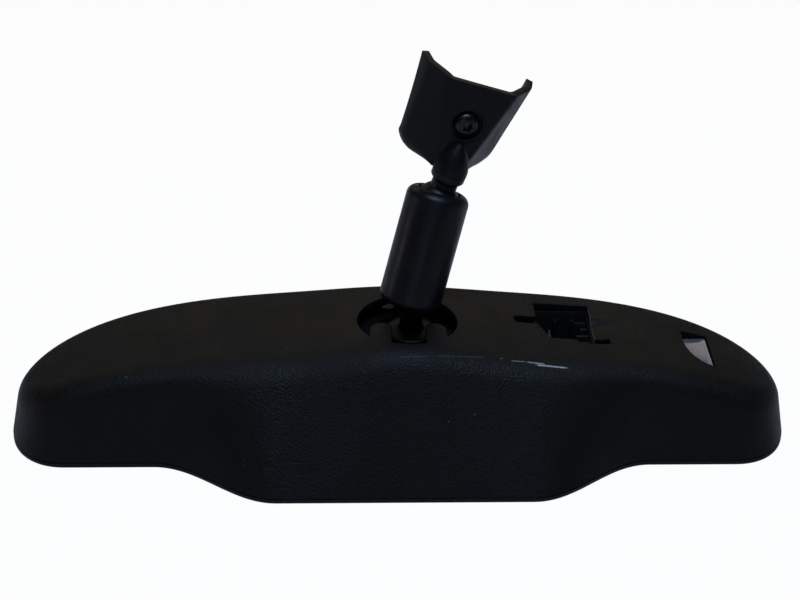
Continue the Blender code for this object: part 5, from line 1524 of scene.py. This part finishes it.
class REARVIEW_OT_stage(bpy.types.Operator):
    """Set the floor, the lights, the surroundings and the camera"""

    bl_idname = "rearview.stage"
    bl_label = "Stage"

    def execute(self, context):
        _, _, stage = settings()
        self.floor(stage)
        self.surroundings(context, stage)
        for name, setting, place, size, tint in LAMPS:
            self.lamp(name, place, size, getattr(stage, setting), tint)
        self.camera(context, stage)
        context.scene.view_settings.view_transform = "Standard"
        return {"FINISHED"}

    def floor(self, stage):
        pick_none()
        bpy.ops.mesh.primitive_plane_add(size=8, location=(0, 0, -0.05 * MM))
        floor = bpy.context.object
        floor.name = "floor"
        tree = Tree("pale_floor")
        tree.set(Base_Color=(*stage.floor, 1.0), Roughness=0.9, Specular_IOR_Level=0.2)
        seen = tree.add("ShaderNodeLightPath").outputs["Is Camera Ray"]
        share = tree.math("MULTIPLY", seen, FLOOR_GLOW)
        glow = tree.add("ShaderNodeEmission", Color=(1, 1, 1, 1), Strength=1.0)
        blend = tree.nodes.new("ShaderNodeMixShader")
        tree.put(blend.inputs[0], share)
        tree.links.new(tree.shader.outputs[0], blend.inputs[1])
        tree.links.new(glow.outputs[0], blend.inputs[2])
        tree.links.new(blend.outputs[0], tree.nodes["Material Output"].inputs["Surface"])
        wear_material(floor, tree.material)

    def surroundings(self, context, stage):
        world = bpy.data.worlds.new("surroundings")
        world.use_nodes = True
        context.scene.world = world
        nodes, links = world.node_tree.nodes, world.node_tree.links
        light = nodes["Background"]
        light.inputs["Color"].default_value = (1.0, 0.93, 0.82, 1.0)
        light.inputs["Strength"].default_value = stage.world
        white = nodes.new("ShaderNodeBackground")
        white.inputs["Color"].default_value = (1, 1, 1, 1)
        white.inputs["Strength"].default_value = 1.0
        path = nodes.new("ShaderNodeLightPath")
        blend = nodes.new("ShaderNodeMixShader")
        links.new(path.outputs["Is Camera Ray"], blend.inputs[0])
        links.new(light.outputs[0], blend.inputs[1])
        links.new(white.outputs[0], blend.inputs[2])
        links.new(blend.outputs[0], nodes["World Output"].inputs["Surface"])

    def lamp(self, name, place, size, power, tint):
        data = bpy.data.lights.new(name, "AREA")
        data.shape = "RECTANGLE"
        data.size, data.size_y = size
        data.energy = power
        data.color = tint
        lamp = bpy.data.objects.new(name, data)
        bpy.context.scene.collection.objects.link(lamp)
        lamp.location = place
        aim = LAMP_TARGET - Vector(place)
        lamp.rotation_euler = aim.to_track_quat("-Z", "Y").to_euler()

    def camera(self, context, stage):
        turn, tilt, roll = CAMERA_TURN, CAMERA_TILT, CAMERA_ROLL
        ahead = Vector((math.sin(turn) * math.cos(tilt), math.cos(turn) * math.cos(tilt),
                        -math.sin(tilt)))
        side = Vector((math.cos(turn), -math.sin(turn), 0))
        rise = side.cross(ahead)
        right = side * math.cos(roll) + rise * math.sin(roll)
        up = rise * math.cos(roll) - side * math.sin(roll)
        data = bpy.data.cameras.new("camera")
        data.lens = stage.lens
        data.clip_end = 20
        camera = bpy.data.objects.new("camera", data)
        context.scene.collection.objects.link(camera)
        basis = Matrix((right, up, -ahead)).transposed().to_4x4()
        camera.matrix_world = Matrix.Translation(
            Vector(CAMERA_TARGET) - ahead * CAMERA_DISTANCE) @ basis
        context.scene.camera = camera


MAKERS = (REARVIEW_OT_housing, REARVIEW_OT_bezel, REARVIEW_OT_controls, REARVIEW_OT_socket,
          REARVIEW_OT_sensor, REARVIEW_OT_stem, REARVIEW_OT_bracket, REARVIEW_OT_inner,
          REARVIEW_OT_stage)


class VIEW3D_PT_rearview(bpy.types.Panel):
    """Lists the steps that build the mirror."""

    bl_label = "Rearview mirror"
    bl_idname = "VIEW3D_PT_rearview"
    bl_space_type = "VIEW_3D"
    bl_region_type = "UI"
    bl_category = "Mirror"

    def draw(self, context):
        for maker in MAKERS:
            self.layout.operator(maker.bl_idname)
        for group in settings():
            for name in group.bl_rna.properties.keys():
                if name not in {"rna_type", "name"}:
                    self.layout.prop(group, name)


GROUPS = (("mirror_sizes", MirrorSizes), ("mirror_finishes", MirrorFinishes),
          ("mirror_stage", MirrorStage))


def register():
    for name, group in GROUPS:
        bpy.utils.register_class(group)
        setattr(bpy.types.Scene, name, bpy.props.PointerProperty(type=group))
    for maker in (*MAKERS, VIEW3D_PT_rearview):
        bpy.utils.register_class(maker)


def unregister():
    for maker in (*MAKERS, VIEW3D_PT_rearview):
        bpy.utils.unregister_class(maker)
    for name, group in GROUPS:
        delattr(bpy.types.Scene, name)
        bpy.utils.unregister_class(group)


def main():
    register()
    bpy.ops.rearview.housing()
    bpy.ops.rearview.bezel()
    bpy.ops.rearview.controls()
    bpy.ops.rearview.socket()
    bpy.ops.rearview.sensor()
    bpy.ops.rearview.stem()
    bpy.ops.rearview.bracket()
    bpy.ops.rearview.inner()
    bpy.ops.rearview.stage()


if __name__ == "__main__":
    main()
